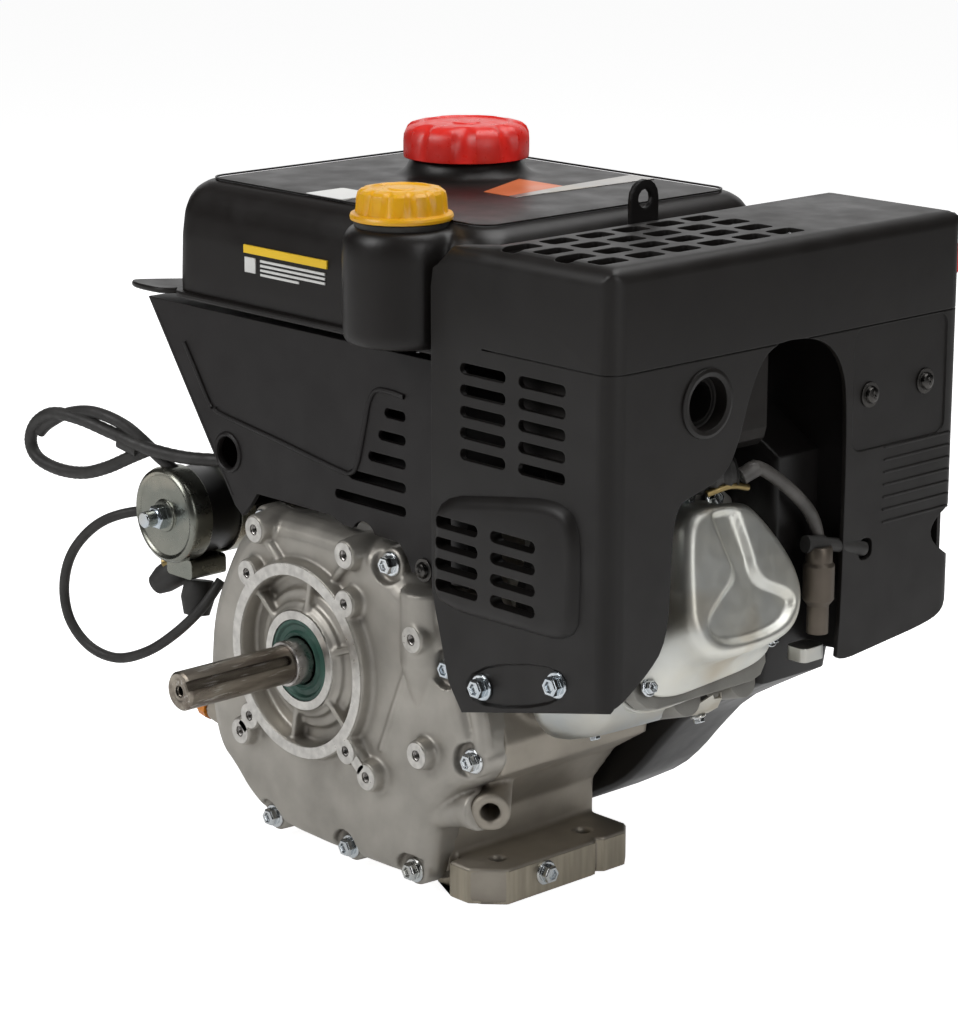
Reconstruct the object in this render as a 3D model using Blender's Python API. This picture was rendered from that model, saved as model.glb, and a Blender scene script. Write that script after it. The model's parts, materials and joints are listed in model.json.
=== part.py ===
"""Single-cylinder, four-stroke petrol engine with a horizontal output shaft, for a snow thrower.

World frame: metres, +Z up. The origin is on the base plane, under the crankshaft axis and
midway along the feet. The output shaft points along -Y and the cylinder leans towards +X.
The dimensions below are millimetres; every mesh is turned into metres when it is made.
"""

import math

import bmesh
import bpy
from mathutils import Matrix, Vector

MM = 0.001
GAP = 0.35                       # clearance between two pieces that touch on the real engine

# ---------------------------------------------------------------- driving dimensions
CRANK_HEIGHT = 137.0             # crankshaft axis above the base plane
SHAFT_RADIUS = 12.7              # 1 inch output shaft
SHAFT_LENGTH = 95.0              # from the pilot face to the shaft's end
FACE_Y = -93.0                   # machined pilot face of the side cover
SPLIT_Y = -60.0                  # joint between side cover and crankcase
CASE_REAR_Y = 70.0               # back of the crankcase
CASE_WALL = 7.0
CYLINDER_Y = 20.0                # plane of the cylinder axis and connecting rod
CYLINDER_TILT = math.radians(18.0)
BORE_RADIUS = 44.0
STROKE = 66.0
ROD_LENGTH = 112.0
PISTON_CROWN = 32.0              # wrist pin axis to piston crown
CRANKPIN_RADIUS = 18.0
WEB_GAP = 13.0                   # half the space between the two crank webs
JOURNAL_RADIUS = 17.4
GEAR_MODULE = 2.4
CRANK_GEAR_TEETH = 20
CAM_GEAR_TEETH = 40
PUSHROD_DROP = 47.0              # pushrods below the cylinder axis
PUSHROD_SPREAD = 27.0            # pushrods each side of the cylinder axis
DECK = STROKE / 2 + ROD_LENGTH + PISTON_CROWN + 1.0
HEAD_TOP = 252.0                 # along the cylinder axis, from the crankshaft axis
HOOD_RIGHT_X = 288.0
HOOD_FRONT_Y = -93.0
HOOD_REAR_Y = 223.0
HOOD_TOP_Z = 434.0
TANK_BOTTOM_Z = 358.0
TANK_TOP_Z = 438.0
FLYWHEEL_RADIUS = 110.0
RING_MODULE = 4.95
RING_TEETH = 48
PINION_TEETH = 8
STARTER_X = -155.0
STARTER_Z = 203.0

X = Vector((1, 0, 0))
Y = Vector((0, 1, 0))
Z = Vector((0, 0, 1))
ALONG = Vector((math.cos(CYLINDER_TILT), 0, math.sin(CYLINDER_TILT)))
ACROSS = Vector((-math.sin(CYLINDER_TILT), 0, math.cos(CYLINDER_TILT)))
CRANK_CENTRE = Vector((0, 0, CRANK_HEIGHT))
CYLINDER_CENTRE = Vector((0, CYLINDER_Y, CRANK_HEIGHT))
CAM_DISTANCE = GEAR_MODULE * (CRANK_GEAR_TEETH + CAM_GEAR_TEETH) / 2
CAM_ALONG = math.sqrt(CAM_DISTANCE ** 2 - PUSHROD_DROP ** 2)
CAM_CENTRE = CRANK_CENTRE + ALONG * CAM_ALONG - ACROSS * PUSHROD_DROP
PIN_REST = ROD_LENGTH - STROKE / 2        # wrist pin along the axis, piston fully down

# Crankcase and side cover share this outline, as (x, z), clockwise from the lower left.
CASE_OUTLINE = [(-70, 21), (-87, 38), (-105, 50), (-114, 89), (-112, 116), (-109, 142),
                (-101, 165), (-80, 203), (-64, 218), (-50, 229), (60, 229), (84, 224),
                (92, 207), (128, 204), (136, 178), (150, 158), (154, 140), (166, 112),
                (162, 92), (134, 74), (114, 48), (112, 14), (100, 7), (-40, 7)]
COVER_BOLTS = [(-51, 219), (-43, 15), (36, 15), (99, 16), (134, 160), (155, 104), (78, 216)]
PILOT_HOLES = [(49.5, 49.5), (-49.5, 49.5), (-49.5, -49.5), (49.5, -49.5)]
OUTER_BOSSES = [(49.6, 218.7), (-41.2, 217.8), (-59.9, 74.1), (69.4, 74.7),
                (114.2, 177.2), (118.3, 101.9)]


# ---------------------------------------------------------------- frames and materials
class Frame:
    """Local axes (u, v, w) placed in the world; outlines lie in (u, v) and extrude along w."""

    def __init__(self, origin, u, v, w):
        self.origin = Vector(origin)
        self.axes = (u, v, w)

    def at(self, u, v, w):
        return self.origin + self.axes[0] * u + self.axes[1] * v + self.axes[2] * w


FRONT = Frame((0, 0, 0), X, Z, Y)
TOP = Frame((0, 0, 0), X, Y, Z)
SIDE = Frame((0, 0, 0), Y, Z, X)
CRANK = Frame(CRANK_CENTRE, X, Z, Y)
CAM = Frame(CAM_CENTRE, X, Z, Y)
THROW = Frame(CRANK_CENTRE, ALONG, ACROSS, Y)
CYLINDER = Frame(CYLINDER_CENTRE, Y, ACROSS, ALONG)


def finish(name, colour, roughness, metallic):
    material = bpy.data.materials.get(name)
    if material is None:
        material = bpy.data.materials.new(name)
        material.use_nodes = True
        shader = material.node_tree.nodes["Principled BSDF"]
        shader.inputs["Base Color"].default_value = (*colour, 1)
        shader.inputs["Roughness"].default_value = roughness
        shader.inputs["Metallic"].default_value = metallic
    return material


def cast_aluminium():
    return finish("cast_aluminium", (0.56, 0.54, 0.50), 0.45, 0.9)


def zinc():
    return finish("zinc_steel", (0.68, 0.69, 0.70), 0.28, 1.0)


def steel():
    return finish("bright_steel", (0.55, 0.53, 0.50), 0.3, 1.0)


def cast_iron():
    return finish("cast_iron", (0.20, 0.20, 0.21), 0.6, 0.9)


def black_plastic():
    return finish("black_plastic", (0.035, 0.033, 0.032), 0.5, 0.0)


def black_paint():
    return finish("black_paint", (0.02, 0.02, 0.022), 0.4, 0.2)


def rubber():
    return finish("black_rubber", (0.02, 0.02, 0.02), 0.7, 0.0)


def red_plastic():
    return finish("red_plastic", (0.65, 0.03, 0.03), 0.35, 0.0)


def yellow_plastic():
    return finish("yellow_plastic", (0.9, 0.5, 0.03), 0.35, 0.0)


def green_rubber():
    return finish("green_rubber", (0.03, 0.09, 0.07), 0.5, 0.0)


def ceramic():
    return finish("white_ceramic", (0.85, 0.85, 0.82), 0.2, 0.0)


# ---------------------------------------------------------------- outlines
def circle(u, v, radius, count=24):
    step = 2 * math.pi / count
    return [(u + radius * math.cos(i * step), v + radius * math.sin(i * step))
            for i in range(count)]


def arc(u, v, radius, start, end, count):
    """Points on an arc between two angles in degrees, both ends included."""
    angles = [math.radians(start + (end - start) * i / count) for i in range(count + 1)]
    return [(u + radius * math.cos(a), v + radius * math.sin(a)) for a in angles]


def rectangle(u0, v0, u1, v1):
    return [(u0, v0), (u1, v0), (u1, v1), (u0, v1)]


def rounded(u0, v0, u1, v1, radius, steps=3):
    """Rectangle whose four corners are arcs."""
    points = arc(u1 - radius, v1 - radius, radius, 0, 90, steps)
    points += arc(u0 + radius, v1 - radius, radius, 90, 180, steps)
    points += arc(u0 + radius, v0 + radius, radius, 180, 270, steps)
    points += arc(u1 - radius, v0 + radius, radius, 270, 360, steps)
    return points


def signed_area(outline):
    pairs = zip(outline, outline[1:] + outline[:1])
    return sum(a[0] * b[1] - b[0] * a[1] for a, b in pairs) / 2


def inset(outline, distance):
    """Outline moved inwards by a distance; a negative distance moves it outwards."""
    turn = 1 if signed_area(outline) > 0 else -1
    result = []
    for index, point in enumerate(outline):
        here = Vector(point)
        before = (here - Vector(outline[index - 1])).normalized()
        after = (Vector(outline[(index + 1) % len(outline)]) - here).normalized()
        normal = Vector((-before.y - after.y, before.x + after.x)).normalized() * turn
        reach = distance / max(0.4, normal.dot(Vector((-before.y, before.x)) * turn))
        result.append(tuple(here + normal * reach))
    return result


def gear_outline(teeth, module):
    """Straight-flanked teeth with backlash; a tooth is centred on the +u axis."""
    pitch = module * teeth / 2
    step = 2 * math.pi / teeth
    points = []
    for tooth in range(teeth):
        for radius, share in ((pitch - 1.15 * module, -0.30), (pitch + 0.85 * module, -0.13),
                              (pitch + 0.85 * module, 0.13), (pitch - 1.15 * module, 0.30)):
            angle = (tooth + share) * step
            points.append((radius * math.cos(angle), radius * math.sin(angle)))
    return points


def turned_by(outline, angle):
    """Outline turned about its own origin by an angle in radians."""
    c, s = math.cos(angle), math.sin(angle)
    return [(u * c - v * s, u * s + v * c) for u, v in outline]


# ---------------------------------------------------------------- solids in world millimetres
def loft(frame, rings):
    """Closed skin through rings of (outline, w), all with the same count of points."""
    bm = bmesh.new()
    loops = [[bm.verts.new(frame.at(u, v, w)) for u, v in outline] for outline, w in rings]
    for low, high in zip(loops, loops[1:]):
        for i in range(len(low)):
            j = (i + 1) % len(low)
            bm.faces.new((low[i], low[j], high[j], high[i]))
    bm.faces.new(loops[0])
    bm.faces.new(loops[-1])
    return bm


def prism(frame, outline, w0, w1):
    return loft(frame, [(outline, w0), (outline, w1)])


def turned(frame, profile, count=24):
    """Solid of revolution about w; the profile is a closed loop of (radius, w)."""
    bm = bmesh.new()
    loops = []
    for radius, w in profile:
        if radius == 0:
            loops.append([bm.verts.new(frame.at(0, 0, w))] * count)
        else:
            loops.append([bm.verts.new(frame.at(u, v, w)) for u, v in circle(0, 0, radius, count)])
    for low, high in zip(loops, loops[1:] + loops[:1]):
        for i in range(count):
            j = (i + 1) % count
            corners = list(dict.fromkeys((low[i], low[j], high[j], high[i])))
            if len(corners) > 2:
                bm.faces.new(corners)
    return bm


def cylinder(frame, u, v, radius, w0, w1, count=20):
    return prism(frame, circle(u, v, radius, count), w0, w1)


def ring(frame, inner, outer, w0, w1, count=24):
    return turned(frame, [(inner, w0), (outer, w0), (outer, w1), (inner, w1)], count)


def smooth_path(points, steps):
    """Catmull-Rom curve through the points."""
    path = []
    last = len(points) - 1
    for i in range(last):
        p0, p1 = points[max(i - 1, 0)], points[i]
        p2, p3 = points[i + 1], points[min(i + 2, last)]
        for k in range(steps):
            t = k / steps
            path.append(0.5 * ((2 * p1) + (p2 - p0) * t + (2 * p0 - 5 * p1 + 4 * p2 - p3) * t * t
                               + (3 * p1 - p0 - 3 * p2 + p3) * t * t * t))
    return path + [points[last]]


def tube(points, radius, sides=8, steps=5):
    """Round bar swept along a smooth curve."""
    path = smooth_path([Vector(p) for p in points], steps)
    bm = bmesh.new()
    side = None
    loops = []
    for i, here in enumerate(path):
        ahead = (path[min(i + 1, len(path) - 1)] - path[max(i - 1, 0)]).normalized()
        if side is None:
            side = ahead.orthogonal().normalized()
        side = (side - ahead * side.dot(ahead)).normalized()
        up = ahead.cross(side)
        loops.append([bm.verts.new(here + side * u + up * v) for u, v in circle(0, 0, radius, sides)])
    for low, high in zip(loops, loops[1:]):
        for i in range(sides):
            j = (i + 1) % sides
            bm.faces.new((low[i], low[j], high[j], high[i]))
    bm.faces.new(loops[0])
    bm.faces.new(loops[-1])
    return bm


def merged(shapes):
    """One mesh that holds several separate shapes, for use as a cutter."""
    whole = bmesh.new()
    scratch = bpy.data.meshes.new("scratch")
    for shape in shapes:
        bmesh.ops.recalc_face_normals(shape, faces=shape.faces)
        shape.to_mesh(scratch)
        whole.from_mesh(scratch)
        shape.free()
    bpy.data.meshes.remove(scratch)
    return whole


# ---------------------------------------------------------------- objects and booleans
def piece(name, bm, material, pivot=(0, 0, 0)):
    """Make the named object from a shape in world millimetres, with its origin at the pivot."""
    pivot = Vector(pivot)
    bmesh.ops.recalc_face_normals(bm, faces=bm.faces)
    bm.transform(Matrix.Scale(MM, 4) @ Matrix.Translation(-pivot))
    mesh = bpy.data.meshes.new(name)
    bm.to_mesh(mesh)
    bm.free()
    mesh.shade_smooth()
    mesh.set_sharp_from_angle(angle=math.radians(32))
    mesh.materials.append(material)
    obj = bpy.data.objects.new(name, mesh)
    obj.location = pivot * MM
    bpy.context.scene.collection.objects.link(obj)
    return obj


def boolean(obj, shape, operation):
    """Cut the shape from the object, or join it to the object, with a Boolean modifier."""
    number = len(obj.modifiers) + 1
    tool = piece(f"{obj.name}_tool_{number}", shape, obj.data.materials[0])
    tool.hide_render = True
    tool.display_type = "WIRE"
    modifier = obj.modifiers.new(f"{operation.lower()}_{number}", "BOOLEAN")
    modifier.operation = operation
    modifier.solver = "EXACT"
    modifier.object = tool


def cut(obj, *shapes):
    boolean(obj, merged(shapes), "DIFFERENCE")


def join(obj, shape):
    boolean(obj, shape, "UNION")


# ---------------------------------------------------------------- crankcase and cover
def lugs(centres, radius, y0, y1):
    return [cylinder(FRONT, x, z, radius, y0, y1, 8) for x, z in centres]


def rounded_square(half, corner):
    """Outline with as many points as the barrel's circle, for its fins."""
    return rounded(-half, -half, half, half, corner, 3)


def barrel_rings():
    """The barrel's core, with square fins stepped out of it."""
    core = rounded_square(52, 40)
    fin = rounded_square(68, 26)
    rings = [(core, 96)]
    for number in range(3):
        w = 132 + number * 14
        rings += [(core, w), (fin, w), (fin, w + 4), (core, w + 4)]
    return rings + [(core, DECK)]


def make_crankcase():
    case = piece("crankcase", prism(FRONT, CASE_OUTLINE, SPLIT_Y + GAP, CASE_REAR_Y),
                 cast_aluminium())
    inner = inset(CASE_OUTLINE, CASE_WALL)
    join(case, cylinder(CRANK, 0, 0, 44, CASE_REAR_Y - 5, CASE_REAR_Y + 6, 24))
    for shape in lugs(COVER_BOLTS, 10, SPLIT_Y + GAP, SPLIT_Y + 22):
        join(case, shape)
    cut(case, prism(FRONT, inner, SPLIT_Y - 5, CASE_REAR_Y - 12))
    join(case, loft(CYLINDER, barrel_rings()))
    block = rounded(-37, -PUSHROD_DROP - 13, 37, -PUSHROD_DROP + 13, 8)
    join(case, prism(CYLINDER, block, 82, DECK - 1))
    right_foot = [(94, -54), (117, -54), (119, -65), (137, -65), (155, -48), (155, 30), (151, 34),
                  (155, 38), (155, 58), (146, 68), (94, 68)]
    join(case, prism(TOP, rectangle(-78, -40, 98, 60), 0, 9.5))
    join(case, prism(TOP, right_foot, 0, 24))
    join(case, prism(TOP, rounded(-80, -48, -34, 68, 8), 0, 24))
    drain_axis = (Vector((158, -66, 67)) - Vector((126, -34, 73))).normalized()
    sideways = drain_axis.orthogonal().normalized()
    drain = Frame((126, -34, 73), sideways, drain_axis.cross(sideways), drain_axis)
    join(case, cylinder(drain, 0, 0, 13, 0, 45, 20))
    filler_axis = Vector((-0.93, -0.18, 0.32)).normalized()
    sideways = filler_axis.orthogonal().normalized()
    filler = Frame((-106, -42, 58), sideways, filler_axis.cross(sideways), filler_axis)
    join(case, cylinder(filler, 0, 0, 16, -2, 34, 20))
    foot_holes = [cylinder(TOP, x, y, 5.5, -5, 30, 10)
                  for x, y in ((135, -38), (135, 38), (-60, -30), (-60, 46))]
    bolt_holes = [cylinder(FRONT, x, z, 3.4, SPLIT_Y - 2, SPLIT_Y + 18, 6) for x, z in COVER_BOLTS]
    pushrod_holes = [cylinder(CYLINDER, y, -PUSHROD_DROP, 4.2, 78, DECK + 5, 10)
                     for y in (-PUSHROD_SPREAD, PUSHROD_SPREAD)]
    tappet_bores = [cylinder(CYLINDER, y, -PUSHROD_DROP, 6.6, 76, 99, 12)
                    for y in (-PUSHROD_SPREAD, PUSHROD_SPREAD)]
    side_hole = cylinder(SIDE, -15, 14, 4.4, 130, 160, 12)
    cut(case, *foot_holes, *bolt_holes, side_hole)
    cut(case, cylinder(CYLINDER, 0, 0, 47 + GAP, 60, DECK + 5, 28), *pushrod_holes)
    cut(case, *tappet_bores)
    cut(case, prism(FRONT, inset(CASE_OUTLINE, -2 * GAP), SPLIT_Y - 30, SPLIT_Y + GAP))
    cut(case, cylinder(CRANK, 0, 0, 36 + GAP, CASE_REAR_Y - 20, CASE_REAR_Y + 10, 24),
        cylinder(drain, 0, 0, 6.5, 20, 60, 16), cylinder(filler, 0, 0, 10, -12, 60, 16),
        cylinder(CAM, 0, 0, 8 + GAP, CASE_REAR_Y - 15, CASE_REAR_Y - 5, 16))


def make_side_cover():
    front = FACE_Y + 5
    dish = [(inset(CASE_OUTLINE, 9), front), (inset(CASE_OUTLINE, 4), -74), (CASE_OUTLINE, -71),
            (CASE_OUTLINE, SPLIT_Y)]
    hollow = [(inset(CASE_OUTLINE, 16), front + 8), (inset(CASE_OUTLINE, CASE_WALL), -66),
              (inset(CASE_OUTLINE, CASE_WALL), SPLIT_Y + 5)]
    cover = piece("side_cover", loft(FRONT, dish), cast_aluminium())
    for shape in lugs(COVER_BOLTS, 10, -76, SPLIT_Y):
        join(cover, shape)
    cut(cover, loft(FRONT, hollow))
    cut(cover, cylinder(CRANK, 0, 0, 60, front - 5, front + 9, 24))
    hub = [(66, FACE_Y), (66, -72), (49, -72), (49, -52), (40 + GAP, -52), (40 + GAP, -72),
           (27 + GAP, -72), (27 + GAP, -90), (34, -90), (34, -79), (57, -79), (57, FACE_Y)]
    join(cover, turned(CRANK, hub))
    for number in range(6):
        rib = turned_by(rectangle(32, -2, 59, 2), math.radians(20 + 60 * number))
        join(cover, prism(CRANK, rib, -88, -78))
    for u, v in PILOT_HOLES:
        join(cover, cylinder(CRANK, u, v, 9, FACE_Y, -80.5, 10))
    for shape in lugs(OUTER_BOSSES, 9.5, FACE_Y, -66):
        join(cover, shape)
    join(cover, cylinder(CAM, 0, 0, 15, -82, -58, 12))
    tapped = [cylinder(CRANK, u, v, 3.6, FACE_Y - 5, FACE_Y + 9, 6) for u, v in PILOT_HOLES]
    tapped += [cylinder(FRONT, x, z, 3.6, FACE_Y - 5, FACE_Y + 9, 6) for x, z in OUTER_BOSSES]
    through = [cylinder(FRONT, x, z, 3.4, FACE_Y - 5, SPLIT_Y + 5, 6) for x, z in COVER_BOLTS]
    cut(cover, *tapped, *through, cylinder(CAM, 0, 0, 8 + GAP, -70, -50, 16))


def make_liner():
    piece("cylinder_liner", ring(CYLINDER, BORE_RADIUS, 47, 92, DECK - GAP, 32), cast_iron())


# ---------------------------------------------------------------- crank train
def web_outline():
    """Crank web in the throw's frame: pin towards -u, counterweight towards +u."""
    pin_side = arc(-STROKE / 2, 0, 20, 100, 260, 8)
    weight = arc(0, 0, 50, -75, 75, 12)
    return pin_side + [(-8, -24)] + weight + [(-8, 24)]


def make_crankshaft():
    end = FACE_Y - SHAFT_LENGTH
    web_front = CYLINDER_Y - WEB_GAP
    profile = [(0, end), (SHAFT_RADIUS - 1.5, end), (SHAFT_RADIUS, end + 1.5),
               (SHAFT_RADIUS, FACE_Y - 8), (15, FACE_Y - 7), (15, -71), (JOURNAL_RADIUS, -71),
               (JOURNAL_RADIUS, -30), (20, -30), (20, web_front - 8), (0, web_front - 8)]
    front = piece("crankshaft_front", turned(CRANK, profile), steel(), CRANK_CENTRE)
    join(front, prism(THROW, web_outline(), web_front - 14, web_front))
    keyway = turned_by(rectangle(SHAFT_RADIUS - 3.5, -3.2, SHAFT_RADIUS + 4, 3.2), math.radians(30))
    cut(front, prism(CRANK, keyway, end - 2, FACE_Y - 12), cylinder(CRANK, 0, 0, 4, end - 5, end + 22, 12))
    web_rear = CYLINDER_Y + WEB_GAP
    profile = [(0, web_rear + 8), (20, web_rear + 8), (20, CASE_REAR_Y - 14),
               (JOURNAL_RADIUS, CASE_REAR_Y - 14), (JOURNAL_RADIUS, 78), (12.5, 80), (12.5, 108),
               (8, 109), (8, 122), (0, 122)]
    rear = piece("crankshaft_rear", turned(CRANK, profile), steel(), CRANK_CENTRE)
    join(rear, prism(THROW, web_outline(), web_rear, web_rear + 13))


def make_bearings():
    for name, inner, outer, y0, y1 in (
            ("front_main_bearing", JOURNAL_RADIUS, 40, -70, -52.5),
            ("rear_main_bearing", JOURNAL_RADIUS, 36, 57, 74)):
        races = [(inner + GAP, y0), (inner + 4, y0), (inner + 5, y0 + 1.5), (outer - 5, y0 + 1.5),
                 (outer - 4, y0), (outer, y0), (outer, y1), (inner + GAP, y1)]
        piece(name, turned(CRANK, races), steel(), CRANK_CENTRE)
    seal = [(15 + GAP, -86), (17, -88.5), (27, -88.5), (27, -80), (15 + GAP, -80)]
    piece("oil_seal", turned(CRANK, seal), green_rubber(), CRANK_CENTRE)


def make_timing_gears():
    crank_gear = gear_outline(CRANK_GEAR_TEETH, GEAR_MODULE)
    direction = CAM_CENTRE - CRANK_CENTRE
    mesh_angle = math.atan2(direction.z, direction.x)
    gear = piece("crank_gear", prism(CRANK, turned_by(crank_gear, mesh_angle), -46, -34),
                 steel(), CRANK_CENTRE)
    cut(gear, cylinder(CRANK, 0, 0, JOURNAL_RADIUS + GAP, -55, -25, 24))
    half_tooth = math.pi / CAM_GEAR_TEETH
    cam_gear = turned_by(gear_outline(CAM_GEAR_TEETH, GEAR_MODULE), mesh_angle + math.pi + half_tooth)
    shaft = piece("camshaft", prism(CAM, cam_gear, -45, -35), cast_iron(), CAM_CENTRE)
    profile = [(0, -69), (8, -69), (8, -56), (11, -56), (11, -30), (9, -30), (9, 57.5), (8, 57.5),
               (8, 63), (0, 63)]
    join(shaft, turned(CAM, profile, 12))
    for side, angle in ((-1, 140), (1, 250)):
        middle = CYLINDER_Y + side * PUSHROD_SPREAD
        lobe = arc(0, 0, 13, 60, 300, 8) + arc(10, 0, 6, -60, 60, 3)
        lobe = turned_by(lobe, math.radians(angle))
        join(shaft, prism(CAM, lobe, middle - 5, middle + 5))


def make_piston():
    top = PIN_REST + PISTON_CROWN
    side = BORE_RADIUS - GAP
    profile = [(0, top), (side, top), (side, PIN_REST - 12), (39.5, PIN_REST - 12),
               (37, top - 13), (0, top - 13)]
    pin_centre = CYLINDER.at(0, 0, PIN_REST)
    piston = piece("piston", turned(CYLINDER, profile), cast_aluminium(), pin_centre)
    pin = Frame(pin_centre, ALONG, ACROSS, Y)
    for side_of in (-1, 1):
        low, high = sorted((side_of * 13, side_of * 40))
        join(piston, cylinder(pin, 0, 0, 15, low, high, 16))
    cut(piston, cylinder(pin, 0, 0, 10 + GAP, -60, 60, 16))
    piece("piston_pin", ring(pin, 6, 10, -38, 38, 16), steel(), pin_centre)


def make_rod():
    """Connecting rod with its cap; the crankpin rides in the rod's big end."""
    pin_centre = CYLINDER.at(0, 0, PIN_REST)
    rod_frame = Frame(pin_centre, ALONG, ACROSS, Y)
    big = -ROD_LENGTH
    shank = [(0, 8), (big + 18, 13), (big + 18, -13), (0, -8)]
    rod = piece("connecting_rod", prism(rod_frame, shank, -8, 8), cast_aluminium(), pin_centre)
    join(rod, cylinder(rod_frame, 0, 0, 15, -11, 11, 20))
    join(rod, prism(rod_frame, arc(big, 0, 27, -90, 90, 12), -12, 12))
    cut(rod, cylinder(rod_frame, 0, 0, 10 + GAP, -20, 20, 16),
        cylinder(rod_frame, big, 0, CRANKPIN_RADIUS + GAP, -20, 20, 24))
    cap_outline = arc(big - GAP, 0, 27, 90, 270, 12)
    cap = piece("rod_cap", prism(rod_frame, cap_outline, -12, 12), cast_aluminium(), pin_centre)
    cut(cap, cylinder(rod_frame, big, 0, CRANKPIN_RADIUS + GAP, -20, 20, 24))
    piece("crankpin", cylinder(rod_frame, big, 0, CRANKPIN_RADIUS, -12.5, 12.5, 24), steel(),
          rod_frame.at(big, 0, 0))


# ---------------------------------------------------------------- cylinder head and valves
VALVE_SPREAD = 21.0
VALVE_RISE = 8.0


def make_head():
    core = rounded(-54, -62, 54, 52, 16)
    fin = rounded(-64, -66, 64, 60, 18)
    rings = [(core, DECK + 0.3)]
    for number in range(2):
        w = DECK + 10 + number * 14
        rings += [(core, w), (fin, w), (fin, w + 4.5), (core, w + 4.5)]
    flange = rounded(-60, -67, 60, 57, 18)
    rings += [(core, HEAD_TOP - 10), (flange, HEAD_TOP - 10), (flange, HEAD_TOP)]
    head = piece("cylinder_head", loft(CYLINDER, rings), cast_aluminium())
    cut(head, prism(CYLINDER, rounded(-46, -57, 46, 44, 10, 2), HEAD_TOP - 24, HEAD_TOP + 5),
        cylinder(CYLINDER, 0, 0, 42, DECK - 5, DECK + 6, 24))
    rods = [cylinder(CYLINDER, side * PUSHROD_SPREAD, -PUSHROD_DROP, 5, DECK - 5, HEAD_TOP, 12)
            for side in (-1, 1)]
    guides = [cylinder(CYLINDER, side * VALVE_SPREAD, VALVE_RISE, 3 + GAP, DECK, HEAD_TOP, 12)
              for side in (-1, 1)]
    ports = [prism(Frame(CYLINDER.at(0, VALVE_RISE, DECK + 26), ACROSS, ALONG, Y),
                   circle(0, 0, 12.5, 14), low, high) for low, high in ((-90, 5 - VALVE_SPREAD),
                                                                      (VALVE_SPREAD - 5, 90))]
    throats = [cylinder(CYLINDER, side * VALVE_SPREAD, VALVE_RISE, 10, DECK + 4, DECK + 27, 12)
               for side in (-1, 1)]
    plug_hole = cylinder(plug_frame(), 0, 0, 7 + GAP, -40, 80, 16)
    cut(head, *rods, *guides)
    cut(head, *ports)
    cut(head, *throats)
    cut(head, plug_hole)
    cut(head, cylinder(plug_frame(), 0, 0, 12, 7.5, 80, 16))


def plug_frame():
    """Spark plug axis: it leans out of the head's upper front corner."""
    axis = (ACROSS * 0.72 + ALONG * 0.52 - Y * 0.46).normalized()
    side = axis.orthogonal().normalized()
    return Frame(CYLINDER.at(-6, 30, DECK + 18), side, axis.cross(side), axis)


def make_spark_plug():
    plug = [(0, -12), (6.8, -12), (6.8, 8), (11, 8), (11, 12), (10.2, 14), (10.2, 22), (6, 24),
            (6, 46), (0, 46)]
    piece("spark_plug", turned(plug_frame(), plug, 16), ceramic())
    cap = [(6 + GAP, 34), (11, 34), (12, 60), (8, 66), (0, 66), (0, 46 + GAP), (6 + GAP, 46 + GAP)]
    piece("spark_plug_cap", turned(plug_frame(), cap, 16), rubber())


def cover_outline(low, high):
    """Valve cover outline from the arc of its lower corners and that of its upper corners."""
    (u0, v0, r0), (u1, v1, r1) = low, high
    right = arc(u0 + 4, v0, r0, -90, 15, 4) + arc(u1 + 2, v1, r1, 20, 90, 3)
    left = arc(-u1, v1, r1, 90, 160, 3) + arc(-u0 + 4, v0, r0, 165, 270, 4)
    return right + left


def make_valve_cover():
    crown = cover_outline((29, -20, 24), (18, 36, 12))
    base = cover_outline((35, -38, 20), (30, 34, 16))
    rings = [(inset(crown, 8), 294), (inset(crown, 3), 288), (inset(base, 3), HEAD_TOP + 4),
             (inset(base, 3), HEAD_TOP + GAP), (inset(base, -4), HEAD_TOP + GAP),
             (inset(base, -4), HEAD_TOP + 3), (base, HEAD_TOP + 5), (crown, 290),
             (inset(crown, 3), 295.5), (inset(crown, 8), 297)]
    piece("valve_cover", loft(CYLINDER, rings), zinc())


def make_valves():
    seat = DECK + 4.6
    for name, side in (("intake", 1), ("exhaust", -1)):
        valve = Frame(CYLINDER.at(side * VALVE_SPREAD, VALVE_RISE, 0), Y, ACROSS, ALONG)
        stem = [(0, seat - 2), (17, seat - 2), (17, seat + 0.7), (8.5, seat + 1.3),
                (3, seat + 7), (3, 262), (0, 262)]
        piece(f"{name}_valve", turned(valve, stem, 14), steel(), valve.at(0, 0, seat))
        rod = Frame(CYLINDER.at(side * PUSHROD_SPREAD, -PUSHROD_DROP, 0), Y, ACROSS, ALONG)
        piece(f"{name}_pushrod", cylinder(rod, 0, 0, 3.2, 92.4, 252, 10), steel(),
              rod.at(0, 0, 92.4))
        tappet = [(0, 72), (8, 72), (8, 75), (6.2, 75), (6.2, 92), (0, 92)]
        piece(f"{name}_tappet", turned(rod, tappet, 12), steel(), rod.at(0, 0, 72))
        make_rocker(f"{name}_rocker", side)


def rocker_frame(side):
    """Rocker between its pushrod and its valve; w is the pivot axis."""
    low = CYLINDER.at(side * PUSHROD_SPREAD, -PUSHROD_DROP, 0)
    high = CYLINDER.at(side * VALVE_SPREAD, VALVE_RISE, 0)
    reach = (high - low).normalized()
    middle = low.lerp(high, 0.45) + ALONG * 260
    return Frame(middle, reach, ALONG, reach.cross(ALONG)), (high - low).length


def make_rocker(name, side):
    frame, length = rocker_frame(side)
    low, high = -0.45 * length, 0.55 * length
    outline = [(low - 3, -7.5), (low + 5, -7.5), (-9, -5), (9, -3), (high - 6, 2.6), (high + 6, 2.6),
               (high + 6, 8), (6, 10), (-6, 10), (low - 3, -2)]
    rocker = piece(name, prism(frame, outline, -6, 6), steel(), frame.at(0, 0, 0))
    cut(rocker, cylinder(frame, 0, 2, 4, -10, 10, 12))


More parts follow.
